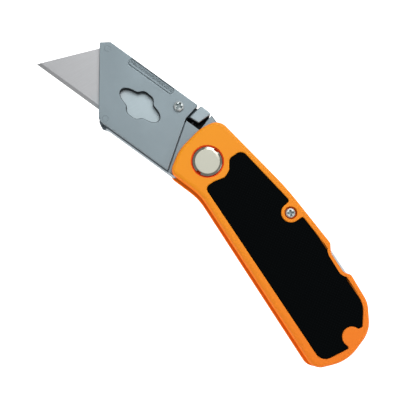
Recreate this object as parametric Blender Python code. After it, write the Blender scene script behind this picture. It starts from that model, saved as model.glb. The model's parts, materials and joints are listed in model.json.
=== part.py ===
"""Folding lock-back utility knife, lying on its rear side with the blade open.

Sizes are in millimetres and MM turns them into metres. The handle is drawn in its own plane with the
origin on the main pivot: +X runs to the butt, +Y from the belly to the spine, +Z out of the front side.
The blade head is drawn in the same way with its own axes, which are turned by HEAD_TILT when it is open.
"""

import math

import bmesh
import bpy
from mathutils import Matrix, Vector

MM = 0.001
ARC_STEP = math.radians(11)
ROUND_SIDES = 40

# Clearances
FIT = 0.1
GAP = 0.3
SWING = 0.5

# Blade: a standard trapezoid blade with two notches in its back
BLADE_LENGTH = 62.0
BLADE_HEIGHT = 19.0
BLADE_THICKNESS = 0.6
BLADE_SLANT = 14.9
BLADE_GRIND = 1.3
BLADE_NOTCH_RADIUS = 1.6
BLADE_NOTCH_PITCH = 12.0
BLADE_REAR_X = -11.4
BLADE_EDGE_Y = -7.0
BLADE_SHOW = 29.4

# Blade head
HEAD_TILT = math.radians(20.25)
HEAD_THICKNESS = 6.0
BELLY_WALL = 3.6
SPINE_WALL = 4.0
BELLY_FLANGE = 0.4
COVER_THICKNESS = 2.0
FRONT_EDGE_LEAN = 0.749
NOSE_CHAMFER = (3.1, 2.55)
HEEL_RADIUS = 8.5
HEEL_START = -116
HEEL_STEP = 3.2
WINDOW_MEAN = 6.0
WINDOW_WAVES = (1.43, 1.11, 0.50)
WINDOW_TURN = math.radians(-3)
GROOVE_LENGTH = 20.2
GROOVE_WIDTH = 2.4
GROOVE_EDGE = 0.5
GROOVE_DEPTH = 0.6
RIVET_RADIUS = 1.1

# Release lever
LEVER_SCREW_X = -21.0
LEVER_SCREW_DROP = 4.8
LEVER_SCREW_RADIUS = 1.2
LEVER_HEAD_RADIUS = 2.0
LEVER_HEAD_HEIGHT = 1.1
LEVER_THICKNESS = 2.1
LEVER_ARM_HEIGHT = 1.5
BUTTON_LENGTH = 5.2
BUTTON_HEIGHT = 6.0
BUTTON_TRAVEL = 1.9
BUTTON_WEB = 0.8

# Handle
SCALE_THICKNESS = 3.4
WASHER = 0.4
WASHER_RADIUS = 7.5
EDGE_ROUND = 1.6
BELLY_DEPTH = 8.8
HEEL_DROP = 4.6
NOSE_REACH = 12.1
LOCK_BAR_DEPTH = 9.4
BUTT_WALL = 11.5
THUMB_NOTCH_LENGTH = 13.6
THUMB_NOTCH_DEPTH = 1.7
GRIP_THICKNESS = 1.3
GRIP_SUNK = 0.15

# Main pivot
FOLD = math.radians(158)
PIVOT_RADIUS = 3.0
PIVOT_SCREW_RADIUS = 1.9
PIVOT_CAP_RADIUS = 5.6
PIVOT_CAP_SEAT = 1.8
PIVOT_CAP_BEVEL = (1.15, 0.8)
SPANNER_NOTCH = (1.8, 0.85)

# Lock bar
LOCK_PIVOT_X = 32.4
LOCK_SLEEVE_RADIUS = 2.3
LOCK_SCREW_RADIUS = 1.3
LOCK_HEAD_RADIUS = 1.9
LOCK_HEAD_SINK = 0.9
HOOK_WIDTH = 5.7
BOSS_RADIUS = 3.65
SPRING_LEAF = 0.5

# Worked out from the sizes above
BLADE_TIP_X = BLADE_REAR_X - BLADE_LENGTH
BLADE_BACK_Y = BLADE_EDGE_Y + BLADE_HEIGHT
TIP_SWEEP = math.hypot(BLADE_TIP_X, BLADE_EDGE_Y)
HEAD_HALF = HEAD_THICKNESS / 2
BACK_PLATE = HEAD_THICKNESS - COVER_THICKNESS - BLADE_THICKNESS - 3 * FIT
HEAD_BELLY_Y = BLADE_EDGE_Y - BELLY_WALL
HEAD_SPINE_Y = BLADE_BACK_Y + SPINE_WALL
FLOOR_Z = BACK_PLATE - HEAD_HALF
BLADE_Z = FLOOR_Z + FIT + BLADE_THICKNESS / 2
COVER_Z = HEAD_HALF - COVER_THICKNESS
COVER_SEAT_Z = COVER_Z - FIT
LEVER_TOP_Z = COVER_Z - FIT
LEVER_LOW_Z = LEVER_TOP_Z - LEVER_THICKNESS
LEVER_SCREW_Y = HEAD_SPINE_Y - LEVER_SCREW_DROP
LEVER_ARM_Y = BLADE_BACK_Y + GAP
NOTCH_X = (BLADE_REAR_X - BLADE_LENGTH / 2) + BLADE_NOTCH_PITCH / 2
BUTTON_Y = HEAD_SPINE_Y + 0.5 - BUTTON_HEIGHT
BUTTON_X = LEVER_SCREW_X + 5.7
BUTTON_LOW_Z = BUTTON_WEB + GAP - HEAD_HALF
POCKET_Y = BUTTON_Y - BUTTON_TRAVEL

CHANNEL_HALF = HEAD_HALF + WASHER + 2 * FIT
SCALE_FACE_Z = CHANNEL_HALF + SCALE_THICKNESS
BELLY_Y = -BELLY_DEPTH
BAR_LOW_Y = SWING + BELLY_FLANGE - HEAD_BELLY_Y
SPINE_Y = BAR_LOW_Y + LOCK_BAR_DEPTH
BUTT_X = TIP_SWEEP + SWING + 1.3 + BUTT_WALL
LOCK_PIVOT_Y = BAR_LOW_Y + LOCK_SLEEVE_RADIUS + 1.1
THUMB_NOTCH_X = BUTT_X - 30.7
BAR_END_X = THUMB_NOTCH_X + THUMB_NOTCH_LENGTH / 2 + 2.6
BUTT_SCREW = (BUTT_X - 5.7, SPINE_Y - 13.0)


# ---------------------------------------------------------------- drawing helpers

def arc(x, y, radius, start, end, count=0):
    """Points, as corners without rounding, along an arc given by its centre, radius and angles in degrees."""
    steps = count or max(2, math.ceil(math.radians(abs(end - start)) / ARC_STEP))
    angles = [math.radians(start + (end - start) * step / steps) for step in range(steps + 1)]
    return [(x + radius * math.cos(angle), y + radius * math.sin(angle), 0) for angle in angles]


def circle(x, y, radius, sides=ROUND_SIDES):
    """Closed round outline."""
    angles = [2 * math.pi * side / sides for side in range(sides)]
    return [Vector((x + radius * math.cos(angle), y + radius * math.sin(angle))) for angle in angles]


def rounded(corners):
    """Closed outline from (x, y, radius) corners, each rounded by an arc tangent to both of its sides."""
    outline = []
    for index, (x, y, radius) in enumerate(corners):
        here = Vector((x, y))
        if radius == 0:
            outline.append(here)
            continue
        back = (Vector(corners[index - 1][:2]) - here).normalized()
        ahead = (Vector(corners[(index + 1) % len(corners)][:2]) - here).normalized()
        half = back.angle(ahead) / 2
        centre = here + (back + ahead).normalized() * radius / math.sin(half)
        start = here + back * radius / math.tan(half) - centre
        turn = math.copysign(math.pi - 2 * half, ahead.cross(back))
        steps = max(2, math.ceil(abs(turn) / ARC_STEP))
        for step in range(steps + 1):
            outline.append(centre + Matrix.Rotation(turn * step / steps, 2) @ start)
    return outline


def grown(outline, distance):
    """The outline moved outwards by a distance, or inwards where it is negative."""
    moved = []
    for index, here in enumerate(outline):
        back = (here - outline[index - 1]).normalized()
        ahead = (outline[(index + 1) % len(outline)] - here).normalized()
        normal = Vector((back.y + ahead.y, -back.x - ahead.x)).normalized()
        moved.append(here + normal * distance / max(0.5, normal.dot(Vector((back.y, -back.x)))))
    return moved


def turned_point(x, y, angle):
    """A point turned about the origin."""
    return (x * math.cos(angle) - y * math.sin(angle), x * math.sin(angle) + y * math.cos(angle))


def on_line(start, end, x):
    """Height at x of the straight line through two points."""
    return start[1] + (end[1] - start[1]) * (x - start[0]) / (end[0] - start[0])


# ---------------------------------------------------------------- Blender helpers

def clear_scene():
    """Remove every object."""
    for existing in list(bpy.data.objects):
        bpy.data.objects.remove(existing, do_unlink=True)


def empty(name, x=0.0, y=0.0, angle=0.0, parent=None):
    """A joint frame at a point of its parent's plane, turned about Z."""
    frame = bpy.data.objects.new(name, None)
    frame.location = (x * MM, y * MM, 0)
    frame.rotation_euler = (0, 0, angle)
    frame.parent = parent
    bpy.context.scene.collection.objects.link(frame)
    return frame


def finish(name, colour, roughness, metallic):
    """Plain material with a piece's base colour."""
    material = bpy.data.materials.new(name)
    material.use_nodes = True
    shader = material.node_tree.nodes["Principled BSDF"]
    shader.inputs["Base Color"].default_value = (*colour, 1)
    shader.inputs["Roughness"].default_value = roughness
    shader.inputs["Metallic"].default_value = metallic
    return material


def link_mesh(name, mesh_data, parent, material=None):
    """Turn a finished bmesh into an object."""
    bmesh.ops.recalc_face_normals(mesh_data, faces=mesh_data.faces)
    mesh = bpy.data.meshes.new(name)
    mesh_data.to_mesh(mesh)
    mesh_data.free()
    piece = bpy.data.objects.new(name, mesh)
    piece.parent = parent
    bpy.context.scene.collection.objects.link(piece)
    if material:
        mesh.materials.append(material)
    return piece


def prism(name, outline, low, high, parent, material=None, soften=0.0, side=0, segments=1):
    """Straight extrusion along Z; soften rounds the rim of its top (side 1), bottom (-1) or both (0)."""
    shape = bmesh.new()
    bottom = [shape.verts.new((point.x * MM, point.y * MM, low * MM)) for point in outline]
    top = [shape.verts.new((point.x * MM, point.y * MM, high * MM)) for point in outline]
    shape.faces.new(list(reversed(bottom)))
    shape.faces.new(top)
    weights = shape.edges.layers.float.new("bevel_weight_edge")
    for index in range(len(outline)):
        after = (index + 1) % len(outline)
        shape.faces.new((bottom[index], bottom[after], top[after], top[index]))
        for ring, kind in ((bottom, -1), (top, 1)):
            if side in (0, kind):
                shape.edges.get((ring[index], ring[after]))[weights] = 1.0
    piece = link_mesh(name, shape, parent, material)
    if soften:
        bevel = piece.modifiers.new("soft rim", "BEVEL")
        bevel.limit_method = "WEIGHT"
        bevel.width = soften * MM
        bevel.segments = segments
    return piece


def turned(name, profile, x, y, parent, material=None, sides=ROUND_SIDES):
    """Solid of revolution about a line along Z; the profile holds (radius, z) from one axis end to the other."""
    shape = bmesh.new()
    points = [shape.verts.new((radius * MM, 0, z * MM)) for radius, z in profile]
    edges = [shape.edges.new(pair) for pair in zip(points, points[1:])]
    if profile[0][0] > 0:
        edges.append(shape.edges.new((points[-1], points[0])))
    bmesh.ops.spin(shape, geom=points + edges, axis=(0, 0, 1), cent=(0, 0, 0), angle=2 * math.pi, steps=sides)
    bmesh.ops.remove_doubles(shape, verts=shape.verts, dist=1e-6)
    bmesh.ops.translate(shape, verts=shape.verts, vec=(x * MM, y * MM, 0))
    piece = link_mesh(name, shape, parent, material)
    piece.data.shade_smooth()
    piece.data.set_sharp_from_angle(angle=math.radians(35))
    return piece


def cut(piece, *cutters):
    """Take the cutters out of a piece and hide them."""
    for cutter in cutters:
        cutter.hide_render = True
        cutter.display_type = "WIRE"
        boolean = piece.modifiers.new("cut " + cutter.name, "BOOLEAN")
        boolean.operation = "DIFFERENCE"
        boolean.solver = "EXACT"
        boolean.object = cutter


def cross_recess(name, x, y, size, low, high, parent, angle):
    """Cross-shaped cutter of a cross-head screw."""
    half = 0.17 * size
    corners = []
    for quarter in range(4):
        turn = angle + quarter * math.pi / 2
        for point in ((half, -half), (size / 2, -half), (size / 2, half)):
            corners.append(Vector(turned_point(*point, turn)) + Vector((x, y)))
    return prism(name, corners, low, high, parent)


# ---------------------------------------------------------------- handle

def spine_corners():
    """Corner points of the spine, from the butt end to the nose, without the thumb notch."""
    return {
        "butt": (BUTT_X - 12.5, SPINE_Y - 0.9),
        "rear": (THUMB_NOTCH_X + THUMB_NOTCH_LENGTH / 2, SPINE_Y - 0.2),
        "front": (THUMB_NOTCH_X - THUMB_NOTCH_LENGTH / 2, SPINE_Y + 0.1),
        "bend": (24.0, SPINE_Y - 1.8),
        "nose": (1.5 - NOSE_REACH, SPINE_Y - 8.2),
    }


def handle_outline():
    """Outline of both scales, anticlockwise from the heel of the belly."""
    spine = spine_corners()
    return rounded([
        (-4.3, BELLY_Y - HEEL_DROP, 3.2),
        (8.6, BELLY_Y, 22),
        (BUTT_X - 3.8, BELLY_Y - 1.1, 5),
        (BUTT_X + 0.6, BELLY_Y + 10.6, 16),
        (BUTT_X - 3.6, SPINE_Y - 6.2, 11),
        (*spine["butt"], 9),
        (*spine["rear"], 1.6),
        (spine["rear"][0] - 2.6, SPINE_Y - THUMB_NOTCH_DEPTH - 0.5, 3),
        (spine["front"][0] + 3.0, SPINE_Y - THUMB_NOTCH_DEPTH - 0.1, 4),
        (*spine["front"], 1.6),
        (*spine["bend"], 110),
        (*spine["nose"], 5),
        (-NOSE_REACH, 5.5, 18),
        (-9.4, -6.2, 16),
    ])


def grip_outline():
    """Outline of the rubber inserts: it runs round the pivot and both screw bosses."""
    butt_x, butt_y = BUTT_SCREW
    return rounded([
        (7.6, BELLY_Y + 2.8, 1.8),
        (BUTT_X - 4.6, BELLY_Y + 2.5, 4),
        (BUTT_X - 3.1, butt_y - 3.2, 0.5),
        *arc(butt_x, butt_y, BOSS_RADIUS + 0.1, -72, -252),
        (butt_x - 0.9, butt_y + 5.1, 0.6),
        (BUTT_X - 13.0, SPINE_Y - 2.9, 9),
        (THUMB_NOTCH_X - 12.0, SPINE_Y - 2.6, 40),
        (LOCK_PIVOT_X + BOSS_RADIUS, SPINE_Y - 3.2, 0.6),
        *arc(LOCK_PIVOT_X, LOCK_PIVOT_Y, BOSS_RADIUS, 0, -180),
        (LOCK_PIVOT_X - BOSS_RADIUS - 0.3, SPINE_Y - 3.9, 0.9),
        (3.4, SPINE_Y - 8.0, 2.6),
        (3.6, 7.4, 2.0),
        *arc(0, 0, 8.6, 36, 13),
        (7.6, -2.0, 2.0),
    ])


def scale(name, front, handle, colours):
    """One half of the handle, with its grip pocket, pivot seat and screw holes."""
    sign = 1 if front else -1
    inner = CHANNEL_HALF * sign
    outer = SCALE_FACE_Z * sign
    low, high = sorted((inner, outer))
    body = prism(name, handle_outline(), low, high, handle, colours["orange"], EDGE_ROUND, sign, 2)
    past = outer + sign

    def pocket(label, outline, depth):
        return prism(name + label, outline, *sorted((outer - depth * sign, past)), handle)

    grip_depth = GRIP_THICKNESS + GRIP_SUNK + FIT
    cut(body, pocket(" grip pocket", grown(grip_outline(), GAP / 2), grip_depth))
    cut(body, pocket(" pivot seat", circle(0, 0, PIVOT_CAP_RADIUS + 0.4), PIVOT_CAP_SEAT))
    cut(body, pocket(" pivot hole", circle(0, 0, PIVOT_RADIUS + FIT), SCALE_THICKNESS + 1))
    lock_hole = circle(LOCK_PIVOT_X, LOCK_PIVOT_Y, LOCK_SCREW_RADIUS + FIT, 24)
    butt_hole = circle(*BUTT_SCREW, LOCK_SCREW_RADIUS + FIT, 24)
    blind = sorted((inner - sign, outer - sign * 1.2))
    if front:
        head_seat = circle(LOCK_PIVOT_X, LOCK_PIVOT_Y, LOCK_HEAD_RADIUS + 0.45)
        cut(body, pocket(" screw seat", head_seat, LOCK_HEAD_SINK + 1.0))
        cut(body, pocket(" screw hole", lock_hole, SCALE_THICKNESS + 1))
        cut(body, prism(name + " blind hole", butt_hole, *blind, handle))
    else:
        head_seat = circle(*BUTT_SCREW, LOCK_HEAD_RADIUS + 0.45)
        cut(body, pocket(" screw seat", head_seat, LOCK_HEAD_SINK + 1.0))
        cut(body, pocket(" screw hole", butt_hole, SCALE_THICKNESS + 1))
        cut(body, prism(name + " blind hole", lock_hole, *blind, handle))
    return body


def grip(name, front, handle, colours):
    """Rubber insert lying in its pocket, just under the face of the scale."""
    sign = 1 if front else -1
    face = (SCALE_FACE_Z - GRIP_SUNK) * sign
    low, high = sorted((face, face - GRIP_THICKNESS * sign))
    return prism(name, grip_outline(), low, high, handle, colours["rubber"], 0.3, sign)


def pivot_barrel(handle, colours):
    """Barrel nut with the rear head; the head turns on it."""
    head_low = -SCALE_FACE_Z + FIT
    head_high = -SCALE_FACE_Z + PIVOT_CAP_SEAT - FIT
    bevel_width, bevel_height = PIVOT_CAP_BEVEL
    top = SCALE_FACE_Z - PIVOT_CAP_SEAT - FIT
    profile = [
        (0, head_low),
        (PIVOT_CAP_RADIUS - bevel_width, head_low),
        (PIVOT_CAP_RADIUS, head_low + bevel_height),
        (PIVOT_CAP_RADIUS, head_high),
        (PIVOT_RADIUS, head_high),
        (PIVOT_RADIUS, top),
        (PIVOT_SCREW_RADIUS + FIT, top),
        (PIVOT_SCREW_RADIUS + FIT, head_high),
        (0, head_high),
    ]
    return turned("pivot_barrel", profile, 0, 0, handle, colours["chrome"])


def pivot_cap(handle, colours):
    """Front screw of the pivot: a bevelled cap with two spanner notches on a threaded shank."""
    top = SCALE_FACE_Z + 0.1
    low = SCALE_FACE_Z - PIVOT_CAP_SEAT + FIT
    bevel_width, bevel_height = PIVOT_CAP_BEVEL
    profile = [
        (0, top),
        (PIVOT_CAP_RADIUS - bevel_width, top),
        (PIVOT_CAP_RADIUS, top - bevel_height),
        (PIVOT_CAP_RADIUS, low),
        (PIVOT_SCREW_RADIUS, low),
        (PIVOT_SCREW_RADIUS, -CHANNEL_HALF),
        (0, -CHANNEL_HALF),
    ]
    cap = turned("pivot_cap", profile, 0, 0, handle, colours["chrome"])
    width, depth = SPANNER_NOTCH
    for number, angle in enumerate((108.5, 288.5)):
        away = PIVOT_CAP_RADIUS - depth + 2
        x, y = turned_point(away, 0, math.radians(angle))
        corners = [(-2, -width / 2), (2, -width / 2), (2, width / 2), (-2, width / 2)]
        outline = [Vector(turned_point(*corner, math.radians(angle))) + Vector((x, y)) for corner in corners]
        cut(cap, prism("spanner notch %d" % number, outline, low - 1, top + 1, handle))
    return cap


def washer(name, side, handle, colours):
    """Thin ring that the tang turns against."""
    low, high = sorted(((HEAD_HALF + FIT) * side, (HEAD_HALF + FIT + WASHER) * side))
    inside = PIVOT_RADIUS + FIT
    profile = [(inside, low), (WASHER_RADIUS, low), (WASHER_RADIUS, high), (inside, high)]
    return turned(name, profile, 0, 0, handle, colours["bronze"])


def screw_through(name, x, y, head_side, handle, colours, angle):
    """Cross-head screw that clamps both scales; its head sits in the scale on head_side."""
    face = SCALE_FACE_Z - LOCK_HEAD_SINK + 0.3
    under = SCALE_FACE_Z - LOCK_HEAD_SINK - 1.0 + FIT
    profile = [
        (0, face + 0.15),
        (LOCK_HEAD_RADIUS * 0.55, face + 0.1),
        (LOCK_HEAD_RADIUS, face - 0.45),
        (LOCK_HEAD_RADIUS, under),
        (LOCK_SCREW_RADIUS, under),
        (LOCK_SCREW_RADIUS, -SCALE_FACE_Z + 1.6),
        (0, -SCALE_FACE_Z + 1.6),
    ]
    profile = [(radius, z * head_side) for radius, z in profile]
    screw = turned(name, profile, x, y, handle, colours["zinc"], 28)
    ends = sorted(((face - 0.9) * head_side, (face + 1) * head_side))
    cut(screw, cross_recess(name + " recess", x, y, 2.5, *ends, handle, angle))
    return screw


def lock_sleeve(handle, colours):
    """Tube that spaces the scales and that the lock bar rocks on."""
    reach = CHANNEL_HALF - FIT
    inside = LOCK_SCREW_RADIUS + FIT
    outside = LOCK_SLEEVE_RADIUS
    profile = [(inside, -reach), (outside, -reach), (outside, reach), (inside, reach)]
    return turned("lock_pivot_sleeve", profile, LOCK_PIVOT_X, LOCK_PIVOT_Y, handle, colours["steel"], 32)


def lock_bar(rocker, colours):
    """Rocking bar that fills the spine: its hook stands behind the shoulder of the tang."""
    spine = spine_corners()
    inset = 0.5
    hook_low = HEEL_RADIUS + GAP
    hook_x = -1.7
    lean = (LOCK_PIVOT_Y - hook_low) / (LOCK_PIVOT_X - hook_x)
    nose_top = on_line(spine["nose"], spine["bend"], hook_x) - inset
    nose_x = hook_x - lean * (nose_top - hook_low)
    turn = math.degrees(math.asin(hook_x / hook_low))
    far = math.degrees(math.asin((hook_x + HOOK_WIDTH - 0.6) / hook_low))
    rear_low = LOCK_PIVOT_Y - 0.7
    corners = [
        *arc(0, 0, hook_low, 90 - turn, 90 - far),
        (hook_x + HOOK_WIDTH, BAR_LOW_Y, 0.5),
        (LOCK_PIVOT_X + 7, BAR_LOW_Y, 3),
        (LOCK_PIVOT_X + 10, rear_low, 3),
        (BAR_END_X, rear_low, 0.6),
        (BAR_END_X, spine["rear"][1] - inset - 0.1, 1),
        (spine["rear"][0] - 1, spine["rear"][1] - inset, 8),
        (spine["front"][0] + 1, spine["front"][1] - inset - 0.2, 8),
        (spine["bend"][0], spine["bend"][1] - inset, 100),
        (nose_x, nose_top, 0.6),
    ]
    outline = [point - Vector((LOCK_PIVOT_X, LOCK_PIVOT_Y)) for point in rounded(corners)]
    reach = CHANNEL_HALF - 2 * FIT
    bar = prism("lock_bar", outline, -reach, reach, rocker, colours["steel"], 0.3)
    hole = circle(0, 0, LOCK_SLEEVE_RADIUS + FIT, 32)
    cut(bar, prism("lock bar hole", hole, -reach - 1, reach + 1, rocker))
    return bar


def folded_edge_y(x):
    """Height of the blade's cutting edge, or of the line it slides on, when the head is folded away."""
    folded = HEAD_TILT + FOLD
    return (BLADE_EDGE_Y + x * math.sin(folded)) / math.cos(folded)


def butt_spacer(handle, colours):
    """Block at the butt's spine side; it clears the sweep of the blade's tip and a folded blade sliding out."""
    sweep = TIP_SWEEP + SWING + 1.3
    low_y = folded_edge_y(sweep) + SWING
    low_angle = math.degrees(math.asin(low_y / sweep))
    high_angle = math.degrees(math.asin((BAR_LOW_Y - 1.4) / sweep))
    spine = spine_corners()
    left = BAR_END_X + 0.8
    full = grown(handle_outline(), -0.6)
    corners = [
        (left, SPINE_Y + 5, 0),
        (left, BAR_LOW_Y - 1.4, 0.8),
        *reversed(arc(0, 0, sweep, low_angle, high_angle, 6)),
        (BUTT_X + 9, low_y, 0),
        (BUTT_X + 9, SPINE_Y + 5, 0),
    ]
    keep = prism("butt spacer keep", rounded(corners), -20, 20, handle)
    keep.hide_render = True
    keep.display_type = "WIRE"
    reach = CHANNEL_HALF - FIT
    block = prism("butt_spacer", full, -reach, reach, handle, colours["steel"])
    boolean = block.modifiers.new("end only", "BOOLEAN")
    boolean.operation = "INTERSECT"
    boolean.solver = "EXACT"
    boolean.object = keep
    hole = circle(*BUTT_SCREW, LOCK_SCREW_RADIUS + FIT, 24)
    cut(block, prism("butt spacer hole", hole, -reach - 1, reach + 1, handle))
    seat_y = BAR_LOW_Y + 0.4
    seat = rounded([
        (left - 2, seat_y - GAP, 0),
        (BUTT_X - 12.4 + GAP, seat_y - GAP, 0),
        (BUTT_X - 12.4 + GAP, seat_y + SPRING_LEAF + GAP, 0),
        (left - 2, seat_y + SPRING_LEAF + GAP, 0),
    ])
    cut(block, prism("spring seat", seat, -reach - 1, reach + 1, handle))
    return block


def lock_spring(handle, colours):
    """Leaf in the butt spacer whose free end lifts the rear of the lock bar."""
    seat_y = BAR_LOW_Y + 0.4
    rear_low = LOCK_PIVOT_Y - 0.7 - GAP
    left = LOCK_PIVOT_X + 15
    top = rear_low - SPRING_LEAF
    thick = SPRING_LEAF
    bend = BAR_END_X - 1
    outline = rounded([
        (BUTT_X - 12.4, seat_y, 0),
        (BUTT_X - 12.4, seat_y + thick, 0),
        (bend, seat_y + thick, 4),
        (left + 2, top + thick, 3),
        (left, top + thick - 0.9, 0),
        (left, top - 0.9, 0),
        (left + 2.2, top, 3),
        (bend, seat_y, 4),
    ])
    return prism("lock_spring", outline, -2.4, 2.4, handle, colours["spring"])


# ---------------------------------------------------------------- blade head

def front_edge_x(y):
    """Where the slanted front edge of the head is at a height."""
    return BLADE_TIP_X + BLADE_SHOW - (y - BLADE_EDGE_Y) * FRONT_EDGE_LEAN


def blade_rear_x(y):
    """Where the slanted rear end of the blade is at a height."""
    return BLADE_REAR_X - BLADE_SLANT * (y - BLADE_EDGE_Y) / BLADE_HEIGHT


def seam_points():
    """The seam between the cover plate and the tang, from the belly to the spine."""
    return [
        (-10.0, HEAD_BELLY_Y - 0.2),
        (BUTTON_X - 0.9, POCKET_Y + 0.7),
        (BUTTON_X - 0.2, HEAD_SPINE_Y - 0.2),
    ]


def spine_nose():
    """Chamfered front corner of the head at the spine."""
    low = HEAD_SPINE_Y - NOSE_CHAMFER[1]
    return [
        (front_edge_x(low) + NOSE_CHAMFER[0], HEAD_SPINE_Y, 0.5),
        (front_edge_x(low), low, 0.5),
    ]


def window_outline():
    """Rounded cross window: a circle with waves of two, four and six lobes."""
    middle_y = (BLADE_EDGE_Y + BLADE_BACK_Y) / 2 + 0.5
    seam = seam_points()
    rear_x = seam[0][0] + (seam[1][0] - seam[0][0]) * (middle_y - seam[0][1]) / (seam[1][1] - seam[0][1])
    middle_x = (front_edge_x(middle_y) + rear_x) / 2
    outline = []
    for side in range(56):
        angle = 2 * math.pi * side / 56
        radius = WINDOW_MEAN
        for lobes, height in zip((2, 4, 6), WINDOW_WAVES):
            radius += height * math.cos(lobes * angle)
        x, y = turned_point(radius * math.cos(angle), radius * math.sin(angle), WINDOW_TURN)
        outline.append(Vector((middle_x + x, middle_y + y)))
    return outline


def rivet_places():
    """Centres of the rivets by name."""
    top = HEAD_SPINE_Y - 2.8
    low = HEAD_BELLY_Y + 1.85
    return {
        "upper_rivet": (front_edge_x(top) + 3.6, top),
        "lower_rivet": (front_edge_x(low) + 2.7, low),
    }


def holder_body(head, colours):
    """Rear half of the head with the tang: blade channel, lever pocket, cover seat and lock shoulder."""
    lean = (LOCK_PIVOT_Y - HEEL_RADIUS) / LOCK_PIVOT_X
    shoulder_x = -2.0
    heel_y = math.sqrt(HEEL_RADIUS ** 2 - shoulder_x ** 2)
    shoulder_top = on_line(spine_corners()["nose"], spine_corners()["bend"], shoulder_x) - 2.0
    root = turned_point(shoulder_x, heel_y, -HEAD_TILT)
    tip = turned_point(shoulder_x - lean * (shoulder_top - heel_y), shoulder_top, -HEAD_TILT)
    root_angle = math.degrees(math.atan2(root[1], root[0]))
    step_x = BUTTON_X + BUTTON_LENGTH + 0.7
    nose_x = front_edge_x(HEAD_BELLY_Y)
    flange_y = HEAD_BELLY_Y - BELLY_FLANGE
    heel_x = HEEL_RADIUS * math.cos(math.radians(HEEL_START))
    outline = rounded([
        *spine_nose(),
        (front_edge_x(HEAD_BELLY_Y + 0.9), HEAD_BELLY_Y + 0.9, 0.6),
        (nose_x - 0.1, flange_y + 0.2, 0.5),
        (nose_x + 2.1, flange_y - 0.8, 0.9),
        (nose_x + 4.4, flange_y, 1.5),
        (heel_x - HEEL_STEP, flange_y, 1.5),
        *arc(0, 0, HEEL_RADIUS, HEEL_START, root_angle),
        (*tip, 0.5),
        (step_x + 0.3, HEAD_SPINE_Y - 0.1, 0.5),
    ])
    body = prism("holder_body", outline, -HEAD_HALF, HEAD_HALF, head, colours["holder"], 0.25)
    above = HEAD_HALF + 1
    well = rounded([
        (BUTTON_X - 0.8, HEAD_SPINE_Y + 4, 0),
        (BUTTON_X - 0.8, POCKET_Y, 0.5),
        (step_x, POCKET_Y, 0.5),
        (step_x + 0.3, HEAD_SPINE_Y + 4, 0),
    ])
    cut(body, prism("button well", well, BUTTON_WEB - HEAD_HALF, above, head))
    seam = seam_points()
    far = BLADE_TIP_X - 5
    direction = Vector(seam[1]) - Vector(seam[0])
    foot = Vector(seam[0]) - direction * 0.5
    seat = [
        Vector((far, foot.y)),
        Vector((foot.x + SWING, foot.y)),
        Vector((seam[1][0] + SWING, seam[1][1])),
        Vector((seam[2][0] + SWING, HEAD_SPINE_Y + 4)),
        Vector((far, HEAD_SPINE_Y + 4)),
    ]
    cut(body, prism("cover seat", seat, COVER_SEAT_Z, above, head))
    low = BLADE_EDGE_Y - GAP
    high = BLADE_BACK_Y + GAP
    channel = [
        Vector((far, low)),
        Vector((blade_rear_x(low) + GAP, low)),
        Vector((blade_rear_x(high) + GAP, high)),
        Vector((far, high)),
    ]
    cut(body, prism("blade channel", channel, FLOOR_Z, COVER_SEAT_Z + 0.5, head))
    arm_end = NOTCH_X - 4.0
    pocket = [
        Vector((arm_end, BLADE_BACK_Y - 0.2)),
        Vector((blade_rear_x(BLADE_BACK_Y), BLADE_BACK_Y - 0.2)),
        Vector((LEVER_SCREW_X - 2.6, LEVER_SCREW_Y - 2.9)),
        Vector((BUTTON_X, LEVER_SCREW_Y - 2.9)),
        Vector((BUTTON_X, HEAD_SPINE_Y + 4)),
        Vector((arm_end, HEAD_SPINE_Y + 4)),
    ]
    cut(body, prism("lever pocket", pocket, LEVER_LOW_Z - FIT, COVER_SEAT_Z + 0.6, head))
    cut(body, prism("tang hole", circle(0, 0, PIVOT_RADIUS + FIT), -above, above, head))
    screw_hole = circle(LEVER_SCREW_X, LEVER_SCREW_Y, LEVER_SCREW_RADIUS + FIT, 24)
    cut(body, prism("lever screw hole", screw_hole, -HEAD_HALF + 0.6, above, head))
    for name, (x, y) in rivet_places().items():
        hole = circle(x, y, RIVET_RADIUS + FIT, 24)
        cut(body, prism(name + " body hole", hole, -above, above, head))
    relief = circle(nose_x + 2.2, flange_y - 0.1, 1.2, 24)
    cut(body, prism("rivet relief", relief, -HEAD_HALF + 1.0, above, head))
    return body


def cover_plate(head, colours):
    """Front plate of the head with its window and thumb groove."""
    seam = seam_points()
    outline = rounded([
        *spine_nose(),
        (front_edge_x(HEAD_BELLY_Y + 0.6) - 0.4, HEAD_BELLY_Y + 0.6, 0.6),
        (front_edge_x(HEAD_BELLY_Y) + 0.9, HEAD_BELLY_Y, 0.5),
        (seam[0][0], HEAD_BELLY_Y, 0.4),
        (*seam[1], 0.6),
        (seam[2][0], HEAD_SPINE_Y, 0.5),
    ])
    plate = prism("cover_plate", outline, COVER_Z, HEAD_HALF, head, colours["holder"], 0.3, 1)
    above = HEAD_HALF + 1
    cut(plate, prism("window", window_outline(), COVER_Z - 1, above, head))
    right = LEVER_SCREW_X - 5.2
    top = HEAD_SPINE_Y - GROOVE_EDGE
    groove = rounded([
        (right - GROOVE_LENGTH + 0.6, top - GROOVE_WIDTH, 0.6),
        (right, top - GROOVE_WIDTH, 0.9),
        (right, top, 0.6),
        (right - GROOVE_LENGTH, top, 0.6),
    ])
    cut(plate, prism("thumb groove", groove, HEAD_HALF - GROOVE_DEPTH, above, head))
    screw_hole = circle(LEVER_SCREW_X, LEVER_SCREW_Y, LEVER_SCREW_RADIUS + FIT, 24)
    cut(plate, prism("cover screw hole", screw_hole, COVER_Z - 1, above, head))
    for name, (x, y) in rivet_places().items():
        hole = circle(x, y, RIVET_RADIUS + FIT, 24)
        cut(plate, prism(name + " cover hole", hole, COVER_Z - 1, above, head))
    return plate


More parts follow.
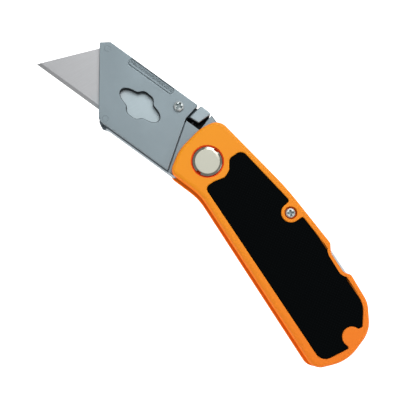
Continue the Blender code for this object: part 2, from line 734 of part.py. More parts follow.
def rivet(name, x, y, head, colours):
    """Solid pin with ends set flush in both sides of the head."""
    reach = HEAD_HALF - 0.05
    profile = [
        (0, -reach),
        (RIVET_RADIUS, -reach),
        (RIVET_RADIUS, reach - 0.1),
        (RIVET_RADIUS - 0.3, reach + 0.05),
        (0, reach + 0.05),
    ]
    return turned(name, profile, x, y, head, colours["holder"], 24)


def blade(slide, colours):
    """Trapezoid blade, ground from both sides to its cutting edge."""
    half = BLADE_THICKNESS / 2
    tip = Vector((BLADE_TIP_X, BLADE_EDGE_Y))
    heel = Vector((BLADE_REAR_X, BLADE_EDGE_Y))
    front_back = Vector((BLADE_TIP_X + BLADE_SLANT, BLADE_BACK_Y))
    rear_back = Vector((BLADE_REAR_X - BLADE_SLANT, BLADE_BACK_Y))
    low, high = BLADE_Z - half, BLADE_Z + half
    piece = prism("blade", [tip, heel, rear_back, front_back], low, high, slide, colours["blade"])
    middle = (BLADE_TIP_X + BLADE_REAR_X) / 2
    for number, side in enumerate((-1, 1)):
        x = middle + side * BLADE_NOTCH_PITCH / 2
        notch = circle(x, BLADE_BACK_Y - 0.2, BLADE_NOTCH_RADIUS, 24)
        cut(piece, prism("blade notch %d" % number, notch, low - 1, high + 1, slide))
        cut(piece, edge_wedge("grind %d" % number, side, slide))
    return piece


def edge_wedge(name, side, parent):
    """Three-sided bar along the cutting edge that grinds one side of the blade."""
    half = BLADE_THICKNESS / 2
    slope = half * 0.9 / BLADE_GRIND
    outside = BLADE_Z + side * (half + 1)
    section = [
        (BLADE_EDGE_Y - 1, BLADE_Z + side * (half - slope * (BLADE_GRIND + 1))),
        (BLADE_EDGE_Y - 1, outside),
        (BLADE_EDGE_Y + BLADE_GRIND + 1 / slope, outside),
    ]
    shape = bmesh.new()
    ends = []
    for x in (BLADE_TIP_X - 5, BLADE_REAR_X + 5):
        ends.append([shape.verts.new((x * MM, y * MM, z * MM)) for y, z in section])
    shape.faces.new(ends[0])
    shape.faces.new(list(reversed(ends[1])))
    for index in range(3):
        after = (index + 1) % 3
        shape.faces.new((ends[0][index], ends[1][index], ends[1][after], ends[0][after]))
    return link_mesh(name, shape, parent)


def release_lever(lever, colours):
    """Thumb button and the arm that lifts the detent off the blade, on one rocker."""
    origin = Vector((LEVER_SCREW_X, LEVER_SCREW_Y))
    arm_end = NOTCH_X - 2.4
    arm_top = LEVER_ARM_Y + 0.35 + LEVER_ARM_HEIGHT
    under = LEVER_ARM_Y + 0.35
    arm = rounded([
        (arm_end, under, 0.4),
        (LEVER_SCREW_X - 3.4, under, 0.4),
        (LEVER_SCREW_X - 2.1, LEVER_SCREW_Y - 2.1, 1.4),
        (LEVER_SCREW_X + 2.6, LEVER_SCREW_Y - 2.1, 1.0),
        (BUTTON_X + 1.0, BUTTON_Y + 0.5, 0),
        (BUTTON_X + 1.0, BUTTON_Y + 4.5, 0),
        (LEVER_SCREW_X + 2.0, arm_top + 0.4, 1.5),
        (arm_end, arm_top, 0.6),
    ])
    piece = prism(
        "release_lever", [point - origin for point in arm], LEVER_LOW_Z, LEVER_TOP_Z, lever, colours["button"])
    block = rounded([
        (BUTTON_X - 0.2, BUTTON_Y - 0.1, 0.5),
        (BUTTON_X + BUTTON_LENGTH - 1.2, BUTTON_Y + 0.1, 0.6),
        (BUTTON_X + BUTTON_LENGTH + 0.5, BUTTON_Y + BUTTON_HEIGHT - 0.1, 0.7),
        (BUTTON_X + 0.8, BUTTON_Y + BUTTON_HEIGHT, 0.7),
    ])
    button = prism(
        "button block", [point - origin for point in block], BUTTON_LOW_Z, HEAD_HALF, lever, None, 0.4)
    button.hide_render = True
    button.display_type = "WIRE"
    union = piece.modifiers.new("button", "BOOLEAN")
    union.operation = "UNION"
    union.solver = "EXACT"
    union.object = button
    hole = circle(0, 0, LEVER_SCREW_RADIUS + FIT, 24)
    cut(piece, prism("lever hole", hole, LEVER_LOW_Z - 1, LEVER_TOP_Z + 1, lever))
    return piece


def lever_screw(head, colours):
    """Pan-head screw that the release lever rocks on."""
    base = HEAD_HALF + FIT
    top = base + LEVER_HEAD_HEIGHT
    profile = [
        (0, top),
        (LEVER_HEAD_RADIUS * 0.5, top - 0.08),
        (LEVER_HEAD_RADIUS * 0.85, top - 0.38),
        (LEVER_HEAD_RADIUS, top - 0.75),
        (LEVER_HEAD_RADIUS, base),
        (LEVER_SCREW_RADIUS, base),
        (LEVER_SCREW_RADIUS, -HEAD_HALF + 0.6 + FIT),
        (0, -HEAD_HALF + 0.6 + FIT),
    ]
    screw = turned("lever_screw", profile, LEVER_SCREW_X, LEVER_SCREW_Y, head, colours["zinc"], 28)
    recess = cross_recess(
        "lever screw recess", LEVER_SCREW_X, LEVER_SCREW_Y, 2.3, top - 0.75, top + 1, head, math.radians(8))
    cut(screw, recess)
    return screw


def lever_spring(head, colours):
    """Small coil that pushes the button up from the floor of its pocket."""
    coil_radius = 1.0
    wire = 0.17
    turns = 3
    low = POCKET_Y + FIT + wire
    high = BUTTON_Y - 0.2 - FIT - wire
    middle_x = BUTTON_X + 1.9
    points = []
    for step in range(turns * 10 + 1):
        angle = 2 * math.pi * step / 10
        height = low + (high - low) * step / (turns * 10)
        x = middle_x + coil_radius * math.cos(angle)
        points.append((x * MM, height * MM, coil_radius * math.sin(angle) * MM, 1))
    path = bpy.data.curves.new("lever_spring", "CURVE")
    path.dimensions = "3D"
    spline = path.splines.new("POLY")
    spline.points.add(len(points) - 1)
    for point, place in zip(spline.points, points):
        point.co = place
    path.bevel_depth = wire * MM
    path.bevel_resolution = 1
    path.use_fill_caps = True
    path.materials.append(colours["spring"])
    coil = bpy.data.objects.new("lever_spring", path)
    coil.parent = head
    bpy.context.scene.collection.objects.link(coil)
    return coil


def detent_spring(lever, colours):
    """Leaf under the arm whose hump sits in the rear notch of the blade's back."""
    thick = 0.25
    top = LEVER_ARM_Y + 0.35 - FIT
    low = top - thick
    hump = 1.0
    left = NOTCH_X - 2.2
    right = LEVER_SCREW_X - 4.4
    corners = rounded([
        (left, low, 0),
        (NOTCH_X - 1.0, low, 0.3),
        (NOTCH_X, low - hump, 0.5),
        (NOTCH_X + 1.0, low, 0.3),
        (right, low, 0),
        (right, top, 0),
        (NOTCH_X + 0.85, top, 0.3),
        (NOTCH_X, top - hump + 0.1, 0.3),
        (NOTCH_X - 0.85, top, 0.3),
        (left, top, 0),
    ])
    outline = [point - Vector((LEVER_SCREW_X, LEVER_SCREW_Y)) for point in corners]
    low_z = FLOOR_Z + FIT
    return prism("blade_detent_spring", outline, low_z, LEVER_TOP_Z - FIT, lever, colours["spring"])


# ---------------------------------------------------------------- assembly

def set_down(base):
    """Move the whole knife so that its box stands centred on the world's origin."""
    bpy.context.view_layer.update()
    graph = bpy.context.evaluated_depsgraph_get()
    corners = []
    for piece in bpy.context.scene.objects:
        if piece.type == "MESH" and not piece.hide_render:
            world = piece.matrix_world
            corners.extend(world @ vertex.co for vertex in piece.evaluated_get(graph).data.vertices)
    low = [min(corner[axis] for corner in corners) for axis in range(3)]
    high = [max(corner[axis] for corner in corners) for axis in range(3)]
    base.location = (-(low[0] + high[0]) / 2, -(low[1] + high[1]) / 2, -low[2])


def build():
    """Make every piece on its joint frame."""
    clear_scene()
    colours = {
        "orange": finish("orange enamel", (0.93, 0.30, 0.03), 0.35, 0.0),
        "rubber": finish("black rubber", (0.01, 0.012, 0.015), 0.75, 0.0),
        "chrome": finish("chromed steel", (0.75, 0.75, 0.70), 0.15, 1.0),
        "bronze": finish("washer bronze", (0.60, 0.42, 0.20), 0.40, 1.0),
        "steel": finish("plain steel", (0.62, 0.64, 0.66), 0.35, 1.0),
        "zinc": finish("zinc plated steel", (0.72, 0.74, 0.74), 0.25, 1.0),
        "spring": finish("spring steel", (0.35, 0.36, 0.38), 0.35, 1.0),
        "holder": finish("satin holder metal", (0.32, 0.38, 0.42), 0.42, 0.8),
        "button": finish("satin button metal", (0.42, 0.48, 0.52), 0.38, 0.8),
        "blade": finish("blade steel", (0.55, 0.55, 0.57), 0.30, 0.9),
    }
    knife = empty("knife_frame")
    head = empty("head_fold_frame", 0, 0, HEAD_TILT, knife)
    slide = empty("blade_slide_frame", 0, 0, 0, head)
    lever = empty("release_frame", LEVER_SCREW_X, LEVER_SCREW_Y, 0, head)
    rocker = empty("lock_bar_frame", LOCK_PIVOT_X, LOCK_PIVOT_Y, 0, knife)

    for name, front in (("front", True), ("rear", False)):
        scale(name + "_scale", front, knife, colours)
        grip(name + "_grip", front, knife, colours)
        washer(name + "_washer", 1 if front else -1, knife, colours)
    pivot_barrel(knife, colours)
    pivot_cap(knife, colours)
    screw_through("lock_screw", LOCK_PIVOT_X, LOCK_PIVOT_Y, 1, knife, colours, math.radians(66))
    screw_through("butt_screw", *BUTT_SCREW, -1, knife, colours, math.radians(20))
    lock_sleeve(knife, colours)
    lock_bar(rocker, colours)
    lock_spring(knife, colours)
    butt_spacer(knife, colours)

    holder_body(head, colours)
    cover_plate(head, colours)
    for name, (x, y) in rivet_places().items():
        rivet(name, x, y, head, colours)
    lever_screw(head, colours)
    lever_spring(head, colours)
    release_lever(lever, colours)
    detent_spring(lever, colours)
    blade(slide, colours)
    set_down(knife)


build()
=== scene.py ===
"""Looks of a folding lock-back utility knife, built around its packed mechanical model.

Plan sizes are in millimetres from the main pivot: for the handle +X runs to the butt and +Y to
the spine, and for the blade head the same axes are turned by the head's own tilt. Heights come
from the frame.
"""

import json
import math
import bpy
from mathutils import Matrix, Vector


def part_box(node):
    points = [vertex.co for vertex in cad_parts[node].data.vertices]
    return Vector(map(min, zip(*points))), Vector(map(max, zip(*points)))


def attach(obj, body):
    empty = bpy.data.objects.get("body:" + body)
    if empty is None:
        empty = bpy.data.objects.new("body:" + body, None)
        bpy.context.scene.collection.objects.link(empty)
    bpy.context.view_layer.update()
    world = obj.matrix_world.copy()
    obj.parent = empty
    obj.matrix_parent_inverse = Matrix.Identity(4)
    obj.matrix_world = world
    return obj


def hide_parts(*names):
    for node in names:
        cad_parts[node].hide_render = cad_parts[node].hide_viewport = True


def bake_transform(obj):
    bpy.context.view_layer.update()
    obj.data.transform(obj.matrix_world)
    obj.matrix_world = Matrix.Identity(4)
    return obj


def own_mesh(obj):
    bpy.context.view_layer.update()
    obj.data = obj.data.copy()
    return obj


bl_info = {
    "name": "Folding Utility Knife Looks",
    "version": (1, 0, 0),
    "blender": (4, 5, 0),
    "location": "View3D > Sidebar > Knife",
    "description": "Builds the surfaces, finishes, light and camera of a folding utility knife",
    "category": "Object",
}

import bmesh
import bpy
import numpy as np
from bpy.props import FloatProperty, FloatVectorProperty, PointerProperty
from mathutils import Matrix, Vector
from mathutils.geometry import tessellate_polygon

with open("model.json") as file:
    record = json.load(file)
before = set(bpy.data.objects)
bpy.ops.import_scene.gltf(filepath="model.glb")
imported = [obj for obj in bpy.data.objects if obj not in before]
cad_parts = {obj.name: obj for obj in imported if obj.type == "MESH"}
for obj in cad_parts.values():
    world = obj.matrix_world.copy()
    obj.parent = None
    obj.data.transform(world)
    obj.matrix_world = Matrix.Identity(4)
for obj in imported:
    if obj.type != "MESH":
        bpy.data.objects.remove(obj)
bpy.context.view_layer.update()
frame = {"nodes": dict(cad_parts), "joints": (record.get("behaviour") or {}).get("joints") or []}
MM = 0.001
ARC_STEP = math.radians(5)
FIT = 0.1

# Sizes shared with the mechanical model, in millimetres
CAP_SEAT = 1.8
SCREW_SEAT = 1.9
BELLY_WALL = 3.6
SPINE_WALL = 4.0
BLADE_TIP = -73.4
BLADE_LENGTH = 62.0
BLADE_SLANT = 14.9
BLADE_GRIND = 1.3
BLADE_SHOW = 29.4
FRONT_LEAN = 0.749
NOSE_REACH = 12.1
NOSE_CHAMFER = (3.1, 2.55)
BUTTON = (5.2, 6.0)

# Sizes of the surfaces alone, in millimetres. EASE is the flat strip beside a rounded edge, RIBS
# gives each rib's width and how far it lies under the face, and WINDOW_WAVES gives the reach of
# each number of lobes.
EASE = 0.04
RIVET_GAP = 0.03
GROOVE_DEPTH = 0.34
RIB_GAP = 0.06
RIBS = ((0.8, 0.03), (0.32, 0.12), (0.32, 0.12), (0.32, 0.12))
WINDOW_WAVES = {0: 6.0, 2: 1.43, 4: 1.11, 6: 0.5}

# The holder's faces that get the painted gap shadow: the button's well, from the lever screw, and
# the seam's ledge
WELL_RUN = (4.5, 12.5)
WELL_LOW = -3.5
SEAM_RISE = 1.2
FACE_SKIN = 0.15

# Where along X the lock's leaf spring leaves its seat and where it follows the bar, and its number
# of cuts
LEAF_BEND = (57.5, 51.0)
LEAF_CUTS = 16

# Values that a noise really reaches
NOISE_RANGE = (0.3, 0.7)

# The camera's foot and aim, in millimetres from the pivot, and its turn about the upright
CAMERA_FOOT = (36.37, -49.37)
CAMERA_AIM = (9.74, -9.26)
CAMERA_TURN = math.radians(56.2)

# What the lights aim at, in millimetres from the pivot, then each soft box: its place to the
# right, up and out from there, and its width, in metres
LIGHT_TARGET = (20, 0, 3)
KEY_BOX = (0.25, 0.65, 0.75, 0.55)
PANEL_BOX = (0.07, 0.2, 1.0, 0.9)
SMALL_BOX_REACH, SMALL_BOX_RISE, SMALL_BOX_WIDTH = 0.85, 0.53, 0.45
SMALL_BOX_TURNS = (200, 290, 345)


def joint(name):
    """A joint of the frame by name."""
    return next(entry for entry in frame["joints"] if entry["name"] == name)


def height(name, top):
    """Top or bottom of a mechanical node in millimetres."""
    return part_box(name)[1 if top else 0][2] / MM


def span(name):
    """Bottom and top of a mechanical node in millimetres."""
    return height(name, False), height(name, True)


PIVOT = np.array(joint("head_fold")["pos_m"]) / MM
LOCK = np.array(joint("lock_bar_press")["pos_m"]) / MM - PIVOT
SLIDE = np.array(joint("blade_slide")["axis"])
TILT = math.atan2(-SLIDE[1], -SLIDE[0])


def in_head(point):
    """Plan position of a world point in the head's axes, in millimetres from the pivot."""
    x, y = np.array(point)[:2] / MM - PIVOT[:2]
    return (x * math.cos(TILT) + y * math.sin(TILT), y * math.cos(TILT) - x * math.sin(TILT))


LEVER = in_head(joint("release_press")["pos_m"])


# ---- settings

def length(label, about, millimetres):
    """A size that is entered in millimetres and kept in metres."""
    return FloatProperty(
        name=label, description=about, default=millimetres * MM, min=0, unit="LENGTH")


def amount(label, about, value, unit="NONE", low=0):
    """A number that isn't a size."""
    return FloatProperty(name=label, description=about, default=value, min=low, unit=unit)


def tint(label, about, code):
    """An sRGB hex colour as a colour setting."""
    return FloatVectorProperty(
        name=label, description=about, default=linear(code), subtype="COLOR", size=3, min=0, max=1)


def linear(code):
    """Linear values of an sRGB hex colour."""
    parts = np.array([int(code[at:at + 2], 16) for at in (1, 3, 5)]) / 255
    curve = np.where(parts <= 0.04045, parts / 12.92, ((parts + 0.055) / 1.055) ** 2.4)
    return tuple(float(value) for value in curve)


class KnifeSizes(bpy.types.PropertyGroup):
    """Sizes of the visible surfaces."""

    butt: length("Butt", "Pivot to the end of the handle", 87.03)
    spine: length("Spine", "Pivot line to the highest line of the spine", 20.9)
    belly: length("Belly", "Pivot line to the belly", 8.8)
    edge_round: length("Edge rounding", "Radius of the outer rim of the scales", 1.5)
    pocket_lip: length("Pocket lip", "Radius of the lip round the rubber insert", 0.3)
    grip_gap: length("Insert gap", "Gap between the insert and its pocket", 0.12)
    cap: length("Pivot cap radius", "Outer radius of the pivot cap", 5.6)
    cap_flat: length("Pivot cap flat", "Radius of the flat top of the pivot cap", 4.45)
    boss: length("Boss radius", "Radius of the screw bosses", 3.65)
    blade_edge: length("Cutting edge", "Pivot line to the cutting edge", 7.0)
    blade_height: length("Blade height", "Cutting edge to the blade's back", 19.0)
    groove: length("Thumb groove", "Length of the thumb groove", 20.2)
    groove_width: length("Groove width", "Width of the thumb groove", 2.4)
    rivet: length("Rivet radius", "Radius of the head rivets", 1.1)
    lever_head: length("Lever screw head", "Radius of the pan head", 2.0)
    lock_head: length("Lock screw head", "Radius of the middle screw's head", 1.9)


class KnifeColours(bpy.types.PropertyGroup):
    """Colours of the finishes."""

    coat_front: tint("Coat at the head", "Orange powder coat near the pivot", "#FFA123")
    coat_rear: tint("Coat at the butt", "Orange powder coat near the butt", "#FF8424")
    # The wall coat is painted shade: a redder orange on the walls and deep faces of the scales
    coat_wall_shade: tint("Coat on the walls", "Orange powder coat with painted shade on the walls and in the recesses", "#FB7E24")
    # This seat colour is painted shade: a deep red-orange on the walls of the pivot cap's seat
    coat_seat_shade: tint("Seat shade coat", "Orange powder coat with painted shade in the seats", "#FF5A1C")
    rubber: tint("Rubber", "Moulded rubber inserts", "#010304")
    casting: tint("Casting", "Satin plated holder", "#87949A")
    # This colour is painted shade on the holder's walls, darker than its faces
    cast_wall_shade: tint("Casting wall shade", "Painted shade on the walls of the holder", "#78848C")
    # This near-black is a painted shadow in the holder's seam and button well and on the window's
    # walls
    gap_shadow: tint("Gap shadow", "Painted shadow in the gaps and on the window's walls", "#14191D")
    # This colour is painted shade on the walls of the cover plate and the button
    plate_wall_shade: tint("Plate wall shade", "Painted shade on the walls of the plate and the button", "#3A444A")
    button: tint("Button", "Satin plated thumb button", "#9BA9AF")
    blade: tint("Blade", "Ground carbon steel", "#AAABAD")
    blade_film: tint("Blade film", "Oiled part of the blade inside the head", "#A0ADB2")
    chrome: tint("Nickel", "Bright nickel plate of the pivot cap", "#B6B6A9")
    zinc: tint("Zinc", "Bright zinc plate of the screws", "#C2CACB")
    # This darker zinc is painted shade in the screws' cross, which is also rougher
    zinc_cross_shade: tint("Shaded cross zinc", "Zinc in the cross of the screws, darker as painted shade", "#8F9C9E")
    steel: tint("Steel", "Ground steel of the lock bar and spacer", "#BFC6CA")
    spring: tint("Spring steel", "Blued spring steel", "#5C6066")
    bronze: tint("Bronze", "Pivot washers", "#B08A4A")
    floor: tint("Floor", "Plain floor", "#FFFFFF")


class KnifeStage(bpy.types.PropertyGroup):
    """Camera and light."""

    camera_height: length("Camera height", "Camera above the middle of the knife", 300)
    lens: amount("Lens", "Focal length", 73.83, "CAMERA", 1)
    floor_size: length("Floor size", "Side of the floor", 2400)
    key: amount("Key light", "Power of the key light", 3.9, "POWER")
    panel: amount("Panel", "Power of the panel overhead", 2.5, "POWER")
    small: amount("Small boxes", "Power of each small box", 1.2, "POWER")
    sky: amount("Sky", "Strength of the even light", 0.28)
    table: amount("Table", "Brightness of the lit table", 1.5)


def sizes():
    """All size settings in millimetres, by name."""
    group = bpy.context.scene.knife_sizes
    return {key: getattr(group, key) / MM for key in KnifeSizes.__annotations__}


# ---- plan outlines

def arc(x, y, radius, start, end):
    """Unrounded corners along an arc: centre plus radius times cosine and sine of even angles."""
    steps = max(2, math.ceil(math.radians(abs(end - start)) / ARC_STEP))
    angles = np.radians(np.linspace(start, end, steps + 1))
    xs, ys = x + radius * np.cos(angles), y + radius * np.sin(angles)
    return [(float(px), float(py), 0) for px, py in zip(xs, ys)]


def full_turn(sides):
    """Even angles all the way round."""
    return np.arange(sides) * 2 * np.pi / sides


def circle(x, y, radius, sides=72):
    """Closed round outline: centre plus radius times cosine and sine."""
    angle = full_turn(sides)
    return np.stack((x + radius * np.cos(angle), y + radius * np.sin(angle)), axis=1)


def rounded(corners):
    """Closed outline from (x, y, radius) corners: each becomes an arc tangent to both its sides."""
    runs = []
    for index, (x, y, radius) in enumerate(corners):
        here = np.array((x, y))
        if radius == 0:
            runs.append(here[None])
            continue
        back = np.array(corners[index - 1][:2]) - here
        ahead = np.array(corners[(index + 1) % len(corners)][:2]) - here
        back = back / np.linalg.norm(back)
        ahead = ahead / np.linalg.norm(ahead)
        half = math.acos(np.clip(back @ ahead, -1, 1)) / 2
        middle = (back + ahead) / np.linalg.norm(back + ahead)
        centre = here + middle * radius / math.sin(half)
        start = here + back * radius / math.tan(half) - centre
        turn = math.copysign(math.pi - 2 * half, ahead[0] * back[1] - ahead[1] * back[0])
        steps = max(3, math.ceil(abs(turn) / ARC_STEP))
        angle = np.linspace(0, turn, steps + 1)
        xs = centre[0] + start[0] * np.cos(angle) - start[1] * np.sin(angle)
        ys = centre[1] + start[0] * np.sin(angle) + start[1] * np.cos(angle)
        runs.append(np.stack((xs, ys), axis=1))
    return np.concatenate(runs)


def grown(outline, distance):
    """The outline moved outwards: each point goes along the mean normal of its two sides."""
    back = outline - np.roll(outline, 1, axis=0)
    back = back / np.linalg.norm(back, axis=1, keepdims=True)
    ahead = np.roll(back, -1, axis=0)
    normal = np.stack((back[:, 1] + ahead[:, 1], -back[:, 0] - ahead[:, 0]), axis=1)
    normal = normal / np.linalg.norm(normal, axis=1, keepdims=True)
    across = np.clip((normal * np.stack((back[:, 1], -back[:, 0]), axis=1)).sum(axis=1), 0.5, 1)
    return outline + normal * (distance / across)[:, None]


def on_line(start, end, x):
    """Height at x of the straight line through two points."""
    return start[1] + (end[1] - start[1]) * (x - start[0]) / (end[0] - start[0])


def turned(points, angle):
    """Plan points turned about the pivot."""
    spin = np.array(((math.cos(angle), math.sin(angle)), (-math.sin(angle), math.cos(angle))))
    return np.asarray(points, float) @ spin


# ---- surfaces

class Skin:
    """Closed surface put together from rings of points, bands between rings and flat fills."""

    def __init__(self):
        self.points = np.zeros((0, 3))
        self.faces = []
        self.marked = []

    def ring(self, outline, z):
        """Add an outline at a height and give its point numbers."""
        start = len(self.points)
        rise = np.full((len(outline), 1), float(z))
        self.points = np.vstack((self.points, np.hstack((outline, rise))))
        return np.arange(start, start + len(outline))

    def band(self, low, high):
        """Quads between two rings of as many points."""
        quads = np.stack((low, np.roll(low, -1), np.roll(high, -1), high), axis=1)
        self.faces.extend(quads.tolist())

    def fill(self, outer, *holes):
        """Flat triangles between a ring and the rings of its holes."""
        rings = (outer, *holes)
        order = np.concatenate(rings)
        loops = [[Vector(point) for point in self.points[ring].tolist()] for ring in rings]
        for face in tessellate_polygon(loops):
            self.faces.append([int(order[corner]) for corner in face])

    def mark(self, start):
        """Give the faces from a number on the second finish."""
        self.marked.extend(range(start, len(self.faces)))

    def stack(self, rings):
        """Bands through a whole list of rings."""
        for low, high in zip(rings, rings[1:]):
            self.band(low, high)
        return rings[-1]


def rim(outline, z, radius, side, steps):
    """Outlines and heights of a rounded edge: inset r(1 - cos t), rise r sin t, t from 0 to 90 deg.

    One more outline, a little further in at the full height, keeps the flat face flat.
    """
    angle = np.linspace(0, np.pi / 2, steps + 1)
    inset = np.append(radius * (1 - np.cos(angle)), radius + EASE)
    rise = np.append(z + side * (radius * np.sin(angle) - radius), z)
    return [(grown(outline, -float(step)), float(level)) for step, level in zip(inset, rise)]


def well(skin, outline, top, floor, lip, bores, bottom, dark):
    """Recess from a top face: a rounded lip, a wall, and a floor from which narrower bores go on.

    A level of None is the bottom face, and dark gives all but the lip's outer part the second
    finish, which paints the shade inside the recess. Gives the top ring and, if it goes through,
    the bottom ring.
    """
    start = len(skin.faces)
    rings = [skin.ring(grown(outline, lip + EASE), top)]
    for t in np.linspace(0, math.pi / 2, 5):
        inset = lip * (1 - math.sin(t))
        rings.append(skin.ring(grown(outline, inset), top - lip * (1 - math.cos(t))))
    rings.append(skin.ring(outline, bottom if floor is None else floor))
    last = skin.stack(rings)
    for shape, level in bores:
        upper = skin.ring(shape, floor)
        skin.fill(last, upper)
        floor = level
        last = skin.ring(shape, bottom if floor is None else floor)
        skin.band(upper, last)
    if floor is not None:
        skin.fill(last)
    if dark:
        skin.mark(start + len(outline) * 2)
    return rings[0], None if floor is not None else last


def slab(outline, low, high, low_round, high_round, steps, wells=()):
    """Plate between two heights with rounded rims and wells in its top: bands between outlines."""
    skin = Skin()
    lower = [skin.ring(*level) for level in rim(outline, low, low_round, -1, steps)]
    upper = [skin.ring(*level) for level in rim(outline, high, high_round, 1, steps)]
    skin.stack(lower[::-1] + upper)
    tops = []
    bottoms = []
    for shape, floor, lip, bores, dark in wells:
        top_ring, bottom_ring = well(skin, shape, high, floor, lip, bores, low, dark)
        tops.append(top_ring)
        if bottom_ring is not None:
            bottoms.append(bottom_ring)
    skin.fill(upper[-1], *tops)
    skin.fill(lower[-1], *bottoms)
    return skin


def polar(radius, angle, z):
    """Closed surface over a polar grid: rows of rings from the top centre to the bottom centre.

    Row i, column j is (radius cos angle, radius sin angle, z); the end rows are filled flat.
    """
    skin = Skin()
    rows = []
    for r, a in zip(radius, angle):
        rows.append(skin.ring(np.stack((r * np.cos(a), r * np.sin(a)), axis=1), 0))
    skin.points[:, 2] = np.asarray(z).ravel()
    skin.stack(rows)
    skin.fill(rows[0])
    skin.fill(rows[-1])
    return skin


# By default the second finish is the painted gap shadow
def place(skin, name, body, finish, replaces=(), mirror=False, sharp=32, at=(0, 0),
          second="painted gap shadow"):
    """Turn a surface into a finished piece in the world; its marked faces get a second finish.

    Every body but the handle has its surfaces in the head's axes.
    """
    points = skin.points.copy()
    points[:, :2] += at
    if body != "handle":
        points[:, :2] = turned(points[:, :2], TILT)
    points[:, :2] += PIVOT[:2]
    if mirror:
        points[:, 2] = 2 * PIVOT[2] - points[:, 2]
    mesh = bpy.data.meshes.new(name)
    mesh.from_pydata((points * MM).tolist(), [], skin.faces)
    chosen = np.zeros(len(skin.faces), int)
    chosen[skin.marked] = 1
    mesh.polygons.foreach_set("material_index", chosen)
    tidy(mesh)
    second = second if skin.marked else None
    return dress(mesh, name, body, finish, replaces, sharp, second)


def tidy(mesh):
    """Merge doubles and turn every face outwards."""
    work = bmesh.new()
    work.from_mesh(mesh)
    bmesh.ops.remove_doubles(work, verts=work.verts, dist=1e-7)
    bmesh.ops.dissolve_degenerate(work, edges=work.edges, dist=1e-8)
    bmesh.ops.recalc_face_normals(work, faces=work.faces)
    work.to_mesh(mesh)
    work.free()


def sliced(mesh, places):
    """Cut a mesh across at places along X, in millimetres."""
    work = bmesh.new()
    work.from_mesh(mesh)
    for x in places:
        everything = [*work.verts, *work.edges, *work.faces]
        bmesh.ops.bisect_plane(work, geom=everything, plane_co=(x * MM, 0, 0), plane_no=(1, 0, 0))
    work.to_mesh(mesh)
    work.free()


def add_object(name, data):
    """New object in the scene."""
    made = bpy.data.objects.new(name, data)
    bpy.context.scene.collection.objects.link(made)
    return made


def dress(mesh, name, body, finish, replaces, sharp, second):
    """Smooth shading, finishes and the frame's bookkeeping for a piece."""
    mesh.shade_smooth()
    mesh.set_sharp_from_angle(angle=math.radians(sharp))
    piece = add_object(name, mesh)
    for look in filter(None, (finish, second)):
        mesh.materials.append(finishes()[look])
    weigh = piece.modifiers.new("flat faces stay flat", "WEIGHTED_NORMAL")
    weigh.keep_sharp = True
    weigh.weight = 80
    if body:
        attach(piece, body)
    if replaces:
        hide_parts(*replaces)
    return piece


def refined(source, name, body, finish, sharp=32, dark=None):
    """Merged copy of a mechanical node with smooth round faces, which stands for it.

    The test called dark picks the faces that get the painted gap shadow, by their centres in
    millimetres.
    """
    packed = frame["nodes"][source].data
    points = np.zeros(len(packed.vertices) * 3)
    packed.vertices.foreach_get("co", points)
    faces = [list(face.vertices) for face in packed.polygons]
    mesh = bpy.data.meshes.new(name)
    mesh.from_pydata(points.reshape(-1, 3).tolist(), [], faces)
    if dark:
        centres = np.zeros(len(mesh.polygons) * 3)
        mesh.polygons.foreach_get("center", centres)
        chosen = dark(centres.reshape(-1, 3) / MM - PIVOT)
        mesh.polygons.foreach_set("material_index", chosen.astype(int))
    tidy(mesh)
    second = "painted gap shadow" if dark else None
    return dress(mesh, name, body, finish, (source,), sharp, second)


# ---- finishes

def node(tree, kind, links=None, **settings):
    """Add a node, set its properties and fill its inputs with values or other nodes' outputs."""
    made = tree.nodes.new(kind)
    for key, value in settings.items():
        setattr(made, key, value)
    for key, value in (links or {}).items():
        if isinstance(value, bpy.types.NodeSocket):
            tree.links.new(value, made.inputs[key])
        else:
            made.inputs[key].default_value = value
    return made


def new_finish(name):
    """Empty material: its node tree and its principled shader."""
    material = bpy.data.materials.new(name)
    material.use_nodes = True
    return material.node_tree, material.node_tree.nodes["Principled BSDF"]


def own_place(tree):
    """The object's own coordinates."""
    return node(tree, "ShaderNodeTexCoord").outputs["Object"]


def per_mm(pitch):
    """Texture scale whose features are a pitch in millimetres apart, for coordinates in metres."""
    return 1 / (pitch * MM)


def noise(tree, where, scale, detail=2.0):
    """Cloudy noise."""
    links = {"Vector": where, "Scale": scale, "Detail": detail}
    return node(tree, "ShaderNodeTexNoise", links).outputs["Fac"]


def spread(tree, value, low, high):
    """A noise stretched over a range of values."""
    links = {"Value": value, 1: NOISE_RANGE[0], 2: NOISE_RANGE[1], 3: low, 4: high}
    return node(tree, "ShaderNodeMapRange", links).outputs[0]


def between(tree, value, low, high):
    """How far a value in metres is from a low to a high place in millimetres, from 0 to 1."""
    links = {"Value": value, 1: low * MM, 2: high * MM}
    return node(tree, "ShaderNodeMapRange", links).outputs[0]


def mixed(tree, share, first, second):
    """Mix of two colours by a share from 0 to 1."""
    ends = [end if isinstance(end, bpy.types.NodeSocket) else (*end, 1) for end in (first, second)]
    links = {0: share, 6: ends[0], 7: ends[1]}
    return node(tree, "ShaderNodeMix", links, data_type="RGBA").outputs[2]


def shaded(tree, colour, shade):
    """A colour made lighter or darker by a factor."""
    return node(tree, "ShaderNodeVectorMath", {0: colour, 3: shade}, operation="SCALE").outputs[0]


def relief(tree, shader, rise, strength, depth):
    """Fine relief in the surface, with its depth in millimetres."""
    bump = node(tree, "ShaderNodeBump", {
        "Height": rise, "Strength": strength, "Distance": depth * MM})
    tree.links.new(bump.outputs[0], shader.inputs["Normal"])


def off_middle(tree, where, low, high):
    """Nearness to the outer faces: 0 up to one distance from the middle plane, 1 from another."""
    split = node(tree, "ShaderNodeSeparateXYZ", {0: where})
    level = node(
        tree, "ShaderNodeMath", {0: split.outputs["Z"], 1: PIVOT[2] * MM}, operation="SUBTRACT")
    away = node(tree, "ShaderNodeMath", {0: level.outputs[0]}, operation="ABSOLUTE")
    return between(tree, away.outputs[0], low, high)


